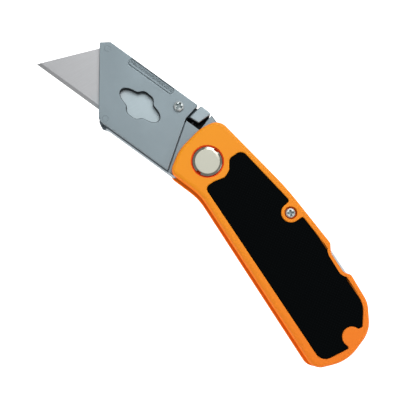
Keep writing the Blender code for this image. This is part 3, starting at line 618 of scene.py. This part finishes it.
def powder_coat(name, front, rear, wall):
    """Powder coated zinc: satin orange, a fine orange-peel skin, a warmer tone to the butt, and
    painted shade in the wall colour below the outer face.
    """
    tree, shader = new_finish(name)
    where = own_place(tree)
    split = node(tree, "ShaderNodeSeparateXYZ", {0: where})
    along = between(tree, split.outputs["X"], PIVOT[0] - 12, PIVOT[0] + 87)
    face = height("front_scale", True) - PIVOT[2]
    # Below the outer face the colour turns to the wall colour, which is painted shade on walls and
    # recesses
    outside = off_middle(tree, where, face - 1.3, face - 0.15)
    layers = mixed(tree, outside, wall, mixed(tree, along, front, rear))
    tree.links.new(layers, shader.inputs["Base Color"])
    peel = noise(tree, where, per_mm(0.9))
    tree.links.new(spread(tree, peel, 0.34, 0.44), shader.inputs["Roughness"])
    relief(tree, shader, peel, 0.12, 0.04)
    sheen = node(tree, "ShaderNodeMath", {0: outside, 1: 0.15}, operation="MULTIPLY")
    tree.links.new(sheen.outputs[0], shader.inputs["Specular IOR Level"])


def dotted_rubber(colour):
    """Moulded rubber: nearly black and matt, with a grid of low dots about a millimetre apart."""
    tree, shader = new_finish("dotted rubber")
    where = own_place(tree)
    turn = node(tree, "ShaderNodeMapping", {
        "Vector": where, "Scale": (math.tau * per_mm(1.3),) * 3,
        "Rotation": (0, 0, math.radians(12))})
    wave = node(tree, "ShaderNodeVectorMath", {0: turn.outputs[0]}, operation="SINE")
    split = node(tree, "ShaderNodeSeparateXYZ", {0: wave.outputs[0]})
    dots = node(tree, "ShaderNodeMath", {
        0: split.outputs["X"], 1: split.outputs["Y"]}, operation="MULTIPLY").outputs[0]
    grain = noise(tree, where, per_mm(0.35))
    rise = node(tree, "ShaderNodeMath", {0: grain, 1: 0.35, 2: dots}, operation="MULTIPLY_ADD")
    relief(tree, shader, rise.outputs[0], 0.35, 0.1)
    tone = node(tree, "ShaderNodeMapRange", {"Value": dots, 1: 0.2, 2: 1.0, 3: 0.0, 4: 0.5})
    # The raised dots get a lighter colour than the rubber between them
    dot_top_colour = [part * 3 + 0.003 for part in colour]
    tree.links.new(mixed(tree, tone.outputs[0], colour, dot_top_colour), shader.inputs["Base Color"])
    shader.inputs["Roughness"].default_value = 0.72
    shader.inputs["Specular IOR Level"].default_value = 0.04


def satin_casting(name, colour, skin):
    """Nickel plated casting: bead blasted, finely mottled faces, and painted shade in the skin
    colour on its walls.
    """
    tree, shader = new_finish(name)
    where = own_place(tree)
    half = height("cover_plate", True) - PIVOT[2]
    # Below the outer face the colour turns to the skin colour, which is painted shade on the walls
    outside = off_middle(tree, where, half - 0.55, half - 0.35)
    shade = spread(tree, noise(tree, where, per_mm(14), 3.0), 0.93, 1.05)
    tone = shaded(tree, mixed(tree, outside, skin, colour), shade)
    tree.links.new(tone, shader.inputs["Base Color"])
    grit = noise(tree, where, per_mm(0.25))
    tree.links.new(spread(tree, grit, 0.40, 0.52), shader.inputs["Roughness"])
    relief(tree, shader, grit, 0.15, 0.02)
    shader.inputs["Metallic"].default_value = 0.75


def ground_steel(name, colour, inner, pitch, rough, across):
    """Ground steel: fine scratches one way, and a bluish oil film where the head covers it."""
    tree, shader = new_finish(name)
    where = own_place(tree)
    fine = per_mm(pitch)
    stretch = node(tree, "ShaderNodeMapping", {
        "Vector": where, "Rotation": (0, 0, -TILT - across), "Scale": (fine, fine * 0.03, fine)})
    lines = noise(tree, stretch.outputs[0], 1.0)
    tree.links.new(spread(tree, lines, rough - 0.06, rough + 0.08), shader.inputs["Roughness"])
    along = node(
        tree, "ShaderNodeVectorMath", {0: where, 1: tuple(-SLIDE)}, operation="DOT_PRODUCT")
    mouth = float(PIVOT @ -SLIDE) + BLADE_TIP + BLADE_SHOW
    covered = between(tree, along.outputs["Value"], mouth - 6, mouth + 6)
    tone = shaded(tree, mixed(tree, covered, colour, inner), spread(tree, lines, 0.96, 1.04))
    tree.links.new(tone, shader.inputs["Base Color"])
    relief(tree, shader, lines, 0.08, 0.01)
    shader.inputs["Metallic"].default_value = 0.9


def plated(name, colour, rough, metal=1.0):
    """Bright plating or polished metal: a smooth mirror skin that handling has slightly hazed."""
    tree, shader = new_finish(name)
    haze = noise(tree, own_place(tree), per_mm(1.5), 3.0)
    tree.links.new(spread(tree, haze, rough - 0.04, rough + 0.06), shader.inputs["Roughness"])
    shader.inputs["Base Color"].default_value = (*colour, 1)
    shader.inputs["Metallic"].default_value = metal


def finishes():
    """All finishes by name, made once."""
    colours = bpy.context.scene.knife_colours
    if "orange powder coat" not in bpy.data.materials:
        # The seat coat paints shade on the walls of the pivot cap's seat
        seat_shade = colours.coat_seat_shade
        powder_coat("orange powder coat", colours.coat_front, colours.coat_rear, colours.coat_wall_shade)
        powder_coat("orange coat with painted seat shade", seat_shade, seat_shade, seat_shade)
        dotted_rubber(colours.rubber)
        satin_casting("satin casting", colours.casting, colours.cast_wall_shade)
        # The cover plate and the button get painted shade on their walls
        satin_casting("satin cover plate", colours.casting, colours.plate_wall_shade)
        satin_casting("satin button", colours.button, colours.plate_wall_shade)
        # The gap finish paints shadow in the holder's gaps and on the window's walls
        satin_casting("painted gap shadow", colours.gap_shadow, colours.gap_shadow)
        ground_steel("blade steel", colours.blade, colours.blade_film, 0.3, 0.34, 0.0)
        ground_steel("ground steel", colours.steel, colours.steel, 0.3, 0.38, math.pi / 2)
        plated("bright nickel", colours.chrome, 0.18)
        plated("bright zinc", colours.zinc, 0.3, 0.6)
        # The cross zinc is darker as painted shade and rougher than the head
        plated("rough zinc with painted cross shade", colours.zinc_cross_shade, 0.45, 0.3)
        plated("spring steel", colours.spring, 0.32)
        plated("washer bronze", colours.bronze, 0.3)
    return bpy.data.materials


# ---- outlines of the knife

def spine_points(size):
    """Corner points of the spine by name."""
    notch = size["butt"] - 30.7
    return {
        "butt": (size["butt"] - 12.5, size["spine"] - 0.9),
        "rear": (notch + 6.8, size["spine"] - 0.2),
        "front": (notch - 6.8, size["spine"] + 0.1),
        "bend": (24.0, size["spine"] - 1.8),
        "nose": (1.5 - NOSE_REACH, size["spine"] - 8.2),
    }


def handle_outline(size):
    """Outline of both scales, anticlockwise from the heel of the belly."""
    spine = spine_points(size)
    butt, top, belly = size["butt"], size["spine"], -size["belly"]
    return rounded([
        (-4.3, belly - 4.6, 3.2),
        (8.6, belly, 22),
        (butt - 3.8, belly - 1.1, 5),
        (butt + 0.6, belly + 10.6, 16),
        (butt - 3.6, top - 6.2, 11),
        (*spine["butt"], 9),
        (*spine["rear"], 1.6),
        (spine["rear"][0] - 2.6, top - 2.2, 3),
        (spine["front"][0] + 3.0, top - 1.8, 4),
        (*spine["front"], 1.6),
        (*spine["bend"], 110),
        (*spine["nose"], 5),
        (-NOSE_REACH, 5.5, 18),
        (-9.4, -6.2, 16),
    ])


def butt_screw_place(size):
    """Centre of the butt screw."""
    return size["butt"] - 5.7, size["spine"] - 13.0


def grip_outline(size):
    """Outline of the rubber inserts: it runs round the pivot and both screw bosses."""
    butt, top, belly, boss = size["butt"], size["spine"], -size["belly"], size["boss"]
    screw_x, screw_y = butt_screw_place(size)
    return rounded([
        (7.6, belly + 2.8, 1.8),
        (butt - 4.6, belly + 2.5, 4),
        (butt - 3.1, screw_y - 3.2, 0.5),
        *arc(screw_x, screw_y, boss + 0.1, -72, -252),
        (screw_x - 0.9, screw_y + 5.1, 0.6),
        (butt - 13.0, top - 2.9, 9),
        (butt - 42.7, top - 2.6, 40),
        (LOCK[0] + boss, top - 3.2, 0.6),
        *arc(LOCK[0], LOCK[1], boss, 0, -180),
        (LOCK[0] - boss - 0.3, top - 3.9, 0.9),
        (3.4, top - 8.0, 2.6),
        (3.6, 7.4, 2.0),
        *arc(0, 0, 8.6, 36, 13),
        (7.6, -2.0, 2.0),
    ])


def head_corners(size):
    """Named places of the blade head in its own axes."""
    edge = -size["blade_edge"]
    back = edge + size["blade_height"]
    return {
        "edge": edge,
        "back": back,
        "belly": edge - BELLY_WALL,
        "spine": back + SPINE_WALL,
        "seam": [(-10.0, edge - BELLY_WALL - 0.2), (-16.2, back - 2.7),
                 (-15.5, back + SPINE_WALL - 0.2)],
    }


def front_edge(size, y):
    """Where the slanted front edge of the head is at a height."""
    return BLADE_TIP + BLADE_SHOW - (y + size["blade_edge"]) * FRONT_LEAN


def cover_outline(size):
    """Outline of the cover plate: a parallelogram with a chamfered nose and a bent rear seam."""
    head = head_corners(size)
    spine, belly, seam = head["spine"], head["belly"], head["seam"]
    nose = front_edge(size, spine - NOSE_CHAMFER[1])
    return rounded([
        (nose + NOSE_CHAMFER[0], spine, 0.5),
        (nose, spine - NOSE_CHAMFER[1], 0.5),
        (front_edge(size, belly + 0.6) - 0.4, belly + 0.6, 0.6),
        (front_edge(size, belly) + 0.9, belly, 0.5),
        (seam[0][0], belly, 0.4),
        (*seam[1], 0.6),
        (seam[2][0], spine, 0.5),
    ])


def window_outline(size):
    """Rounded cross: a circle whose radius has waves of two, four and six lobes."""
    head = head_corners(size)
    middle_y = (head["edge"] + head["back"]) / 2 + 0.5
    seam_x = on_line(head["seam"][0][::-1], head["seam"][1][::-1], middle_y)
    middle_x = (front_edge(size, middle_y) + seam_x) / 2
    angle = full_turn(144)
    radius = sum(reach * np.cos(lobes * angle) for lobes, reach in WINDOW_WAVES.items())
    turn = angle + math.radians(-3)
    return np.stack((middle_x + radius * np.cos(turn), middle_y + radius * np.sin(turn)), axis=1)


def rivet_places(size):
    """Centres of both rivets of the head."""
    head = head_corners(size)
    top, low = head["spine"] - 2.8, head["belly"] + 1.85
    return {
        "upper_rivet": (front_edge(size, top) + 3.6, top),
        "lower_rivet": (front_edge(size, low) + 2.7, low),
    }


def groove_outline(size):
    """Outline of the thumb groove beside the head's spine."""
    top = head_corners(size)["spine"] - 0.5
    right = LEVER[0] - 5.2
    low = top - size["groove_width"]
    left = right - size["groove"]
    return rounded([(left + 0.6, low, 0.6), (right, low, 0.9), (right, top, 0.6), (left, top, 0.6)])


def cross_outline(width, angle):
    """Cross with rounded inner corners, as a cross-head driver leaves it."""
    half, reach = 0.17 * width, width / 2
    corners = []
    for quarter in range(4):
        turn = angle + quarter * math.pi / 2
        for x, y, radius in ((half, -half, 0.12), (reach, -half, 0.06), (reach, half, 0.06)):
            corners.append((*turned([(x, y)], turn)[0], radius))
    return rounded(corners)


# ---- pieces

def screw_surface(profile, cross, depth, angle):
    """Cross-head screw: rings of a profile about its axis, and a cross with tapered walls."""
    skin = Skin()
    rings = [skin.ring(circle(0, 0, radius, 48), z) for radius, z in profile]
    skin.stack(rings)
    top = profile[0][1]
    shape = cross_outline(cross, angle)
    mouth = skin.ring(shape, top)
    floor = skin.ring(shape * 0.66, top - depth)
    skin.fill(rings[0], mouth)
    skin.fill(rings[-1])
    # The cross's walls and floor get the second finish, a darker zinc that paints the shade in the
    # cross
    start = len(skin.faces)
    skin.band(mouth, floor)
    skin.fill(floor)
    skin.mark(start)
    return skin


def turned_surface(profile, notches=(), notch_width=0.0, notch_depth=0.0, sides=120):
    """Surface of revolution: point (r cos a, r sin a, z) for each profile row and angle.

    Inside a notch the radius stops at the flat line (R - depth) / cos(a - n), and the height
    follows the profile.
    """
    radii = np.array([radius for radius, _ in profile])
    heights = np.array([z for _, z in profile])
    outer = radii.max()
    angle = full_turn(sides)
    edge = math.asin(notch_width / 2 / outer) if notches else 0.0
    # A column just outside each side of a notch keeps its walls steep
    for notch in notches:
        angle = np.append(angle, notch + edge * np.array((-1.02, -1, -0.5, 0, 0.5, 1, 1.02)))
    angle = np.unique(np.round(np.mod(angle, 2 * np.pi), 6))
    radius = np.repeat(radii[:, None], len(angle), axis=1)
    level = np.repeat(heights[:, None], len(angle), axis=1)
    widest = int(radii.argmax())
    above = (np.arange(len(radii)) <= widest)[:, None]
    for notch in notches:
        away = np.abs(np.mod(angle - notch + np.pi, 2 * np.pi) - np.pi)
        limit = np.where(away <= edge * 1.005, (outer - notch_depth) / np.cos(away), outer)
        on_profile = np.interp(limit, radii[:widest + 1], heights[:widest + 1])
        level = np.where((radius > limit) & above, on_profile, level)
        radius = np.minimum(radius, limit)
    return polar(radius, np.repeat(angle[None], len(radii), axis=0), level)


def build_scale(side, size):
    """Powder coated half of the handle: a slab with a rounded rim, a pocket and screw seats."""
    front = side == "front"
    low, face = span("front_scale")
    pocket = height("front_grip", False) - FIT
    seat = LOCK[:2] if front else butt_screw_place(size)
    cap = size["cap"]
    cap_bores = (circle(0, 0, cap + FIT, 96), face - CAP_SEAT), (circle(0, 0, 3.1, 96), None)
    screw_head = circle(*seat, size["lock_head"] + 0.45)
    wells = [
        (grown(grip_outline(size), size["grip_gap"]), pocket, size["pocket_lip"], (), False),
        # The pivot cap's seat gets the seat colour below its lip, as painted shade
        (circle(0, 0, cap + 0.4, 96), face - 0.6, 0.2, cap_bores, True),
        (screw_head, face - SCREW_SEAT, 0.15, ((circle(*seat, 1.4), None),), False),
    ]
    skin = slab(handle_outline(size), low, face, 0.2, size["edge_round"], 10, wells)
    place(skin, side + "_handle_scale", "handle", "orange powder coat",
          (side + "_scale",), mirror=not front, sharp=40, second="orange coat with painted seat shade")


def build_grip(side, size):
    """Rubber insert: a slab with a soft rim that lies just under the face of the scale."""
    low, high = span("front_grip")
    skin = slab(grip_outline(size), low, high, 0.1, 0.35, 5)
    place(skin, side + "_rubber_insert", "handle", "dotted rubber",
          (side + "_grip",), mirror=side == "rear", sharp=50)


def shallow_cone(size, top):
    """Profile of a pivot head: a flat top, a shallow cone and a small bevel down to its side."""
    radius, flat = size["cap"], size["cap_flat"]
    under = height("front_scale", True) - CAP_SEAT + FIT
    return [(flat, top), (flat + 0.12, top - 0.03), (radius - 0.2, top - 0.38),
            (radius, top - 0.6), (radius, under)]


def build_pivot(size):
    """Pivot cap with its spanner notches, and the barrel nut behind it."""
    cap = shallow_cone(size, height("pivot_cap", True))
    under = cap[-1][1]
    cap += [(1.9, under), (1.9, height("pivot_cap", False))]
    notches = (math.radians(108.5), math.radians(288.5))
    place(turned_surface(cap, notches, 1.8, 0.85), "pivot_cap_screw", "handle",
          "bright nickel", ("pivot_cap",), sharp=18)
    barrel = shallow_cone(size, 2 * PIVOT[2] - height("pivot_barrel", False))
    shaft = 2 * PIVOT[2] - height("pivot_barrel", True)
    barrel += [(3.0, under), (3.0, shaft), (2.0, shaft), (2.0, under)]
    place(turned_surface(barrel), "pivot_barrel_nut", "handle",
          "bright nickel", ("pivot_barrel",), mirror=True, sharp=18)


def build_scale_screw(name, source, spot, size, degrees, mirror):
    """Screw through both scales: pan head with a cross, and its shank."""
    radius = size["lock_head"]
    low, top = span("lock_screw")
    under = height("front_scale", True) - SCREW_SEAT + FIT
    profile = [(0.70 * radius, top), (0.84 * radius, top - 0.08), (0.94 * radius, top - 0.25),
               (radius, top - 0.55), (radius, under), (1.3, under), (1.3, low)]
    skin = screw_surface(profile, 2.5, 0.8, math.radians(degrees))
    place(skin, name, "handle", "bright zinc", (source,), mirror=mirror, sharp=30, at=spot,
          second="rough zinc with painted cross shade")


def in_gaps(centres):
    """Faces of the holder along the seam and in the button's well, which get the painted gap
    shadow.
    """
    across = turned(centres[:, :2], -TILT) - LEVER
    inside = np.abs(centres[:, 2]) < height("holder_body", True) - PIVOT[2] - FACE_SKIN
    along_well = (across[:, 0] > WELL_RUN[0]) & (across[:, 0] < WELL_RUN[1])
    by_button = along_well & (across[:, 1] > WELL_LOW)
    return inside & (by_button | (centres[:, 2] > SEAM_RISE))


def build_cover(size):
    """Front plate of the head: window, rivet holes and a ribbed thumb groove along its spine."""
    low, face = span("cover_plate")
    groove = groove_outline(size)
    floor = face - GROOVE_DEPTH
    hole = size["rivet"] + RIVET_GAP
    # The window's walls get the painted gap shadow
    wells = [(window_outline(size), None, 0.35, (), True), (groove, floor, 0.3, (), False)]
    wells += [(circle(*spot, hole, 48), None, 0.02, (), False)
              for spot in rivet_places(size).values()]
    place(slab(cover_outline(size), low, face, 0.05, 0.22, 6, wells), "head_cover_plate",
          "head", "satin cover plate", ("cover_plate",))
    left, right = groove[:, 0].min() + 0.35, groove[:, 0].max() - 0.3
    y = groove[:, 1].min() + 0.2
    for number, (width, sink) in enumerate(RIBS, 1):
        corners = (left, y), (right, y), (right, y + width), (left, y + width)
        bar = rounded([(*corner, 0.15) for corner in corners])
        place(slab(bar, floor - 0.1, face - sink, 0.02, 0.1, 3), "thumb_rib_%d" % number,
              "head", "satin cover plate")
        y += width + RIB_GAP


def build_rivets(size):
    """Flush ends of the two rivets that hold the head together."""
    radius = size["rivet"]
    top = height("cover_plate", True)
    for name, spot in rivet_places(size).items():
        low = height(name, False)
        profile = [(0.97 * radius, top), (0.99 * radius, top - 0.01), (radius, top - 0.03),
                   (radius, low + 0.1), (0.9 * radius, low)]
        place(turned_surface(profile, sides=48), name + "_pin", "head", "satin casting", (name,),
              sharp=10, at=spot)


def build_lever_screw(size):
    """Pan head screw beside the window."""
    radius = size["lever_head"]
    low, top = span("lever_screw")
    base = height("cover_plate", True) + FIT
    profile = [(0.70 * radius, top), (0.80 * radius, top - 0.1), (0.9 * radius, top - 0.3),
               (0.98 * radius, top - 0.6), (radius, top - 0.85), (radius, base),
               (1.2, base), (1.2, low)]
    skin = screw_surface(profile, 2.9, 0.75, math.radians(8))
    place(skin, "release_pan_screw", "head", "bright zinc", ("lever_screw",), sharp=30, at=LEVER,
          second="rough zinc with painted cross shade")


def build_button(size):
    """Thumb button of the release: a block with soft rims, and its arm inside the head."""
    left = LEVER[0] + 5.7
    low = head_corners(size)["spine"] + 0.5 - BUTTON[1]
    outline = rounded([
        (left - 0.2, low - 0.1, 0.5),
        (left + BUTTON[0] - 1.2, low + 0.1, 0.6),
        (left + BUTTON[0] + 0.5, low + BUTTON[1] - 0.1, 0.7),
        (left + 0.8, low + BUTTON[1], 0.7)])
    bottom, top = span("release_lever")
    place(slab(outline, bottom, top, 0.3, 0.4, 6), "release_thumb_button", "release",
          "satin button", ("release_lever",))
    arm_low = height("blade", False) - 1.4
    arm_top = height("cover_plate", False) - 2 * FIT
    under = head_corners(size)["back"] + 0.65
    x, y = LEVER
    arm = rounded([
        (x - 18.8, under, 0.4), (x - 3.4, under, 0.4), (x - 2.1, y - 2.1, 1.4),
        (x + 2.6, y - 2.1, 1.0), (left + 0.8, low + 0.5, 0), (left + 0.8, low + 4.5, 0),
        (x + 2.0, under + 1.9, 1.5), (x - 18.8, under + 1.5, 0.6)])
    hole = [(circle(x, y, 1.3, 48), None, 0.05, (), False)]
    place(slab(arm, arm_low, arm_top, 0.1, 0.1, 3, hole), "release_rocker_arm", "release",
          "satin button")


def build_blade(size):
    """Ground blade: rings of its outline, whose cutting edge draws back towards both faces."""
    low, high = span("blade")
    middle = (low + high) / 2
    edge, tall = -size["blade_edge"], size["blade_height"]
    tip, heel, back = BLADE_TIP, BLADE_TIP + BLADE_LENGTH, edge + tall
    centre = (tip + heel) / 2

    def outline(rise):
        """The blade's outline with its cutting edge drawn back by a rise."""
        lean = BLADE_SLANT * rise / tall
        notch = [
            *arc(centre + 6, back - 0.2, 1.6, 7, -187),
            *arc(centre - 6, back - 0.2, 1.6, 7, -187)]
        corners = [
            (tip + lean, edge + rise, 0), (heel - lean, edge + rise, 0),
            (heel - BLADE_SLANT, back, 0), *notch, (tip + BLADE_SLANT, back, 0)]
        return rounded(corners)

    skin = Skin()
    levels = ((BLADE_GRIND, high), (0, middle + 0.02), (0, middle - 0.02), (BLADE_GRIND, low))
    rings = [skin.ring(outline(rise), z) for rise, z in levels]
    skin.stack(rings)
    skin.fill(rings[0])
    skin.fill(rings[-1])
    place(skin, "trapezoid_blade", "cutter", "blade steel", ("blade",), sharp=5)


# ---- operators

class KNIFE_OT_handle(bpy.types.Operator):
    """Both scales and both rubber inserts."""

    bl_idname = "knife.handle"
    bl_label = "Handle"

    def execute(self, context):
        """Build the pieces."""
        size = sizes()
        for side in ("front", "rear"):
            build_scale(side, size)
            build_grip(side, size)
        return {"FINISHED"}


class KNIFE_OT_pivot(bpy.types.Operator):
    """Pivot cap, barrel nut and washers."""

    bl_idname = "knife.pivot"
    bl_label = "Pivot"

    def execute(self, context):
        """Build the pieces."""
        build_pivot(sizes())
        for side in ("front", "rear"):
            refined(side + "_washer", side + "_pivot_washer", "handle", "washer bronze")
        return {"FINISHED"}


class KNIFE_OT_screws(bpy.types.Operator):
    """Screws that hold the two scales together."""

    bl_idname = "knife.screws"
    bl_label = "Handle screws"

    def execute(self, context):
        """Build the pieces."""
        size = sizes()
        spot = butt_screw_place(size)
        build_scale_screw("middle_scale_screw", "lock_screw", LOCK[:2], size, 66, False)
        build_scale_screw("butt_scale_screw", "butt_screw", spot, size, 20, True)
        return {"FINISHED"}


class KNIFE_OT_lock(bpy.types.Operator):
    """Lock bar, its sleeve and spring, and the block at the butt."""

    bl_idname = "knife.lock"
    bl_label = "Lock"

    def execute(self, context):
        """Build the pieces."""
        refined("lock_bar", "rocking_lock_bar", "lock", "ground steel")
        refined("lock_pivot_sleeve", "lock_bar_sleeve", "handle", "ground steel")
        refined("butt_spacer", "butt_spacer_block", "handle", "ground steel")
        leaf = refined("lock_spring", "lock_leaf_spring", None, "spring steel")
        sliced(leaf.data, np.linspace(LEAF_BEND[1] - 2, LEAF_BEND[0], LEAF_CUTS))
        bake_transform(leaf)
        return {"FINISHED"}


class KNIFE_OT_head(bpy.types.Operator):
    """Holder, cover plate and rivets of the blade head."""

    bl_idname = "knife.head"
    bl_label = "Blade head"

    def execute(self, context):
        """Build the pieces."""
        size = sizes()
        # The holder's seam and button well get the painted gap shadow
        refined("holder_body", "head_holder", "head", "satin casting",
                dark=in_gaps)
        build_cover(size)
        build_rivets(size)
        return {"FINISHED"}


class KNIFE_OT_release(bpy.types.Operator):
    """Thumb button with its screw and springs."""

    bl_idname = "knife.release"
    bl_label = "Blade release"

    def execute(self, context):
        """Build the pieces."""
        size = sizes()
        build_lever_screw(size)
        build_button(size)
        coil = refined("lever_spring", "button_coil_spring", "head", "spring steel", 60)
        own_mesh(coil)
        refined("blade_detent_spring", "blade_leaf_spring", "release", "spring steel")
        return {"FINISHED"}


class KNIFE_OT_blade(bpy.types.Operator):
    """Trapezoid blade."""

    bl_idname = "knife.blade"
    bl_label = "Blade"

    def execute(self, context):
        """Build the piece."""
        build_blade(sizes())
        return {"FINISHED"}


class KNIFE_OT_stage(bpy.types.Operator):
    """Floor, lights and camera."""

    bl_idname = "knife.stage"
    bl_label = "Stage"

    def execute(self, context):
        """Build the stage."""
        stage = context.scene.knife_stage
        build_floor(stage)
        build_lights(stage)
        build_camera(stage)
        context.scene.view_settings.view_transform = "Standard"
        return {"FINISHED"}


def build_floor(stage):
    """Plain white floor: acrylic lit from below, so that nothing throws a shadow on it."""
    half = stage.floor_size / 2
    mesh = bpy.data.meshes.new("floor")
    corners = np.array(((-1, -1, 0), (1, -1, 0), (1, 1, 0), (-1, 1, 0))) * half
    mesh.from_pydata(corners.tolist(), [], [(0, 1, 2, 3)])
    floor = add_object("floor", mesh)
    _, shader = new_finish("lit white acrylic")
    shader.inputs["Base Color"].default_value = (0.1, 0.1, 0.1, 1)
    shader.inputs["Emission Color"].default_value = (*bpy.context.scene.knife_colours.floor, 1)
    shader.inputs["Emission Strength"].default_value = stage.table
    shader.inputs["Roughness"].default_value = 0.9
    shader.inputs["Specular IOR Level"].default_value = 0.0
    mesh.materials.append(bpy.data.materials["lit white acrylic"])


def camera_axes():
    """Right and up directions of the camera, flat in the world."""
    right = Vector((math.cos(CAMERA_TURN), math.sin(CAMERA_TURN), 0))
    return right, Vector((-right.y, right.x, 0))


def build_lights(stage):
    """Soft boxes round the knife and an even sky."""
    right, up = camera_axes()
    target = Vector((PIVOT + LIGHT_TARGET) * MM)
    boxes = [("key light", *KEY_BOX, stage.key), ("overhead panel", *PANEL_BOX, stage.panel)]
    for degrees in SMALL_BOX_TURNS:
        turn = math.radians(degrees)
        aside, ahead = SMALL_BOX_REACH * math.cos(turn), SMALL_BOX_REACH * math.sin(turn)
        boxes.append(("small box %d" % degrees, aside, ahead, SMALL_BOX_RISE, SMALL_BOX_WIDTH,
                      stage.small))
    for name, aside, ahead, rise, width, power in boxes:
        place_at = right * aside + up * ahead + Vector((0, 0, rise))
        lamp = bpy.data.lights.new(name, "AREA")
        lamp.shape = "SQUARE"
        lamp.size = width
        lamp.energy = power
        holder = add_object(name, lamp)
        holder.location = target + place_at
        holder.rotation_mode = "QUATERNION"
        holder.rotation_quaternion = place_at.to_track_quat("Z", "Y")
    world = bpy.data.worlds.new("even sky")
    world.use_nodes = True
    even = world.node_tree.nodes["Background"].inputs
    even["Color"].default_value = (1, 1, 1, 1)
    even["Strength"].default_value = stage.sky
    bpy.context.scene.world = world


def build_camera(stage):
    """Camera that looks down on the knife, level with the turned axes."""
    _, up = camera_axes()
    origin = Vector(PIVOT * MM)
    place_at = origin + Vector((*[part * MM for part in CAMERA_FOOT], stage.camera_height))
    look_at = origin + Vector((*[part * MM for part in CAMERA_AIM], 0))
    back = (place_at - look_at).normalized()
    side = up.cross(back).normalized()
    data = bpy.data.cameras.new("camera")
    data.lens = stage.lens
    camera = add_object("camera", data)
    camera.matrix_world = Matrix((side, back.cross(side), back)).transposed().to_4x4()
    camera.location = place_at
    bpy.context.scene.camera = camera


class KNIFE_PT_looks(bpy.types.Panel):
    """Settings and build steps of the knife."""

    bl_idname = "KNIFE_PT_looks"
    bl_label = "Utility knife"
    bl_space_type = "VIEW_3D"
    bl_region_type = "UI"
    bl_category = "Knife"

    def draw(self, context):
        """Lay out the settings and a button for each step."""
        for name, group in GROUPS.items():
            for key in group.__annotations__:
                self.layout.prop(getattr(context.scene, name), key)
        for step in STEPS:
            self.layout.operator(step.bl_idname)


GROUPS = {"knife_sizes": KnifeSizes, "knife_colours": KnifeColours, "knife_stage": KnifeStage}
STEPS = (
    KNIFE_OT_handle, KNIFE_OT_pivot, KNIFE_OT_screws, KNIFE_OT_lock,
    KNIFE_OT_head, KNIFE_OT_release, KNIFE_OT_blade, KNIFE_OT_stage)


def register():
    """Register the classes and hang the settings on the scene."""
    for group in (*GROUPS.values(), *STEPS, KNIFE_PT_looks):
        bpy.utils.register_class(group)
    for name, group in GROUPS.items():
        setattr(bpy.types.Scene, name, PointerProperty(type=group))


def unregister():
    """Take the settings and the classes away again."""
    for name in GROUPS:
        delattr(bpy.types.Scene, name)
    for group in (KNIFE_PT_looks, *reversed(STEPS), *GROUPS.values()):
        bpy.utils.unregister_class(group)


def main():
    """Run every step in order."""
    register()
    for step in STEPS:
        area, action = step.bl_idname.split(".")
        getattr(getattr(bpy.ops, area), action)()


if __name__ == "__main__":
    main()
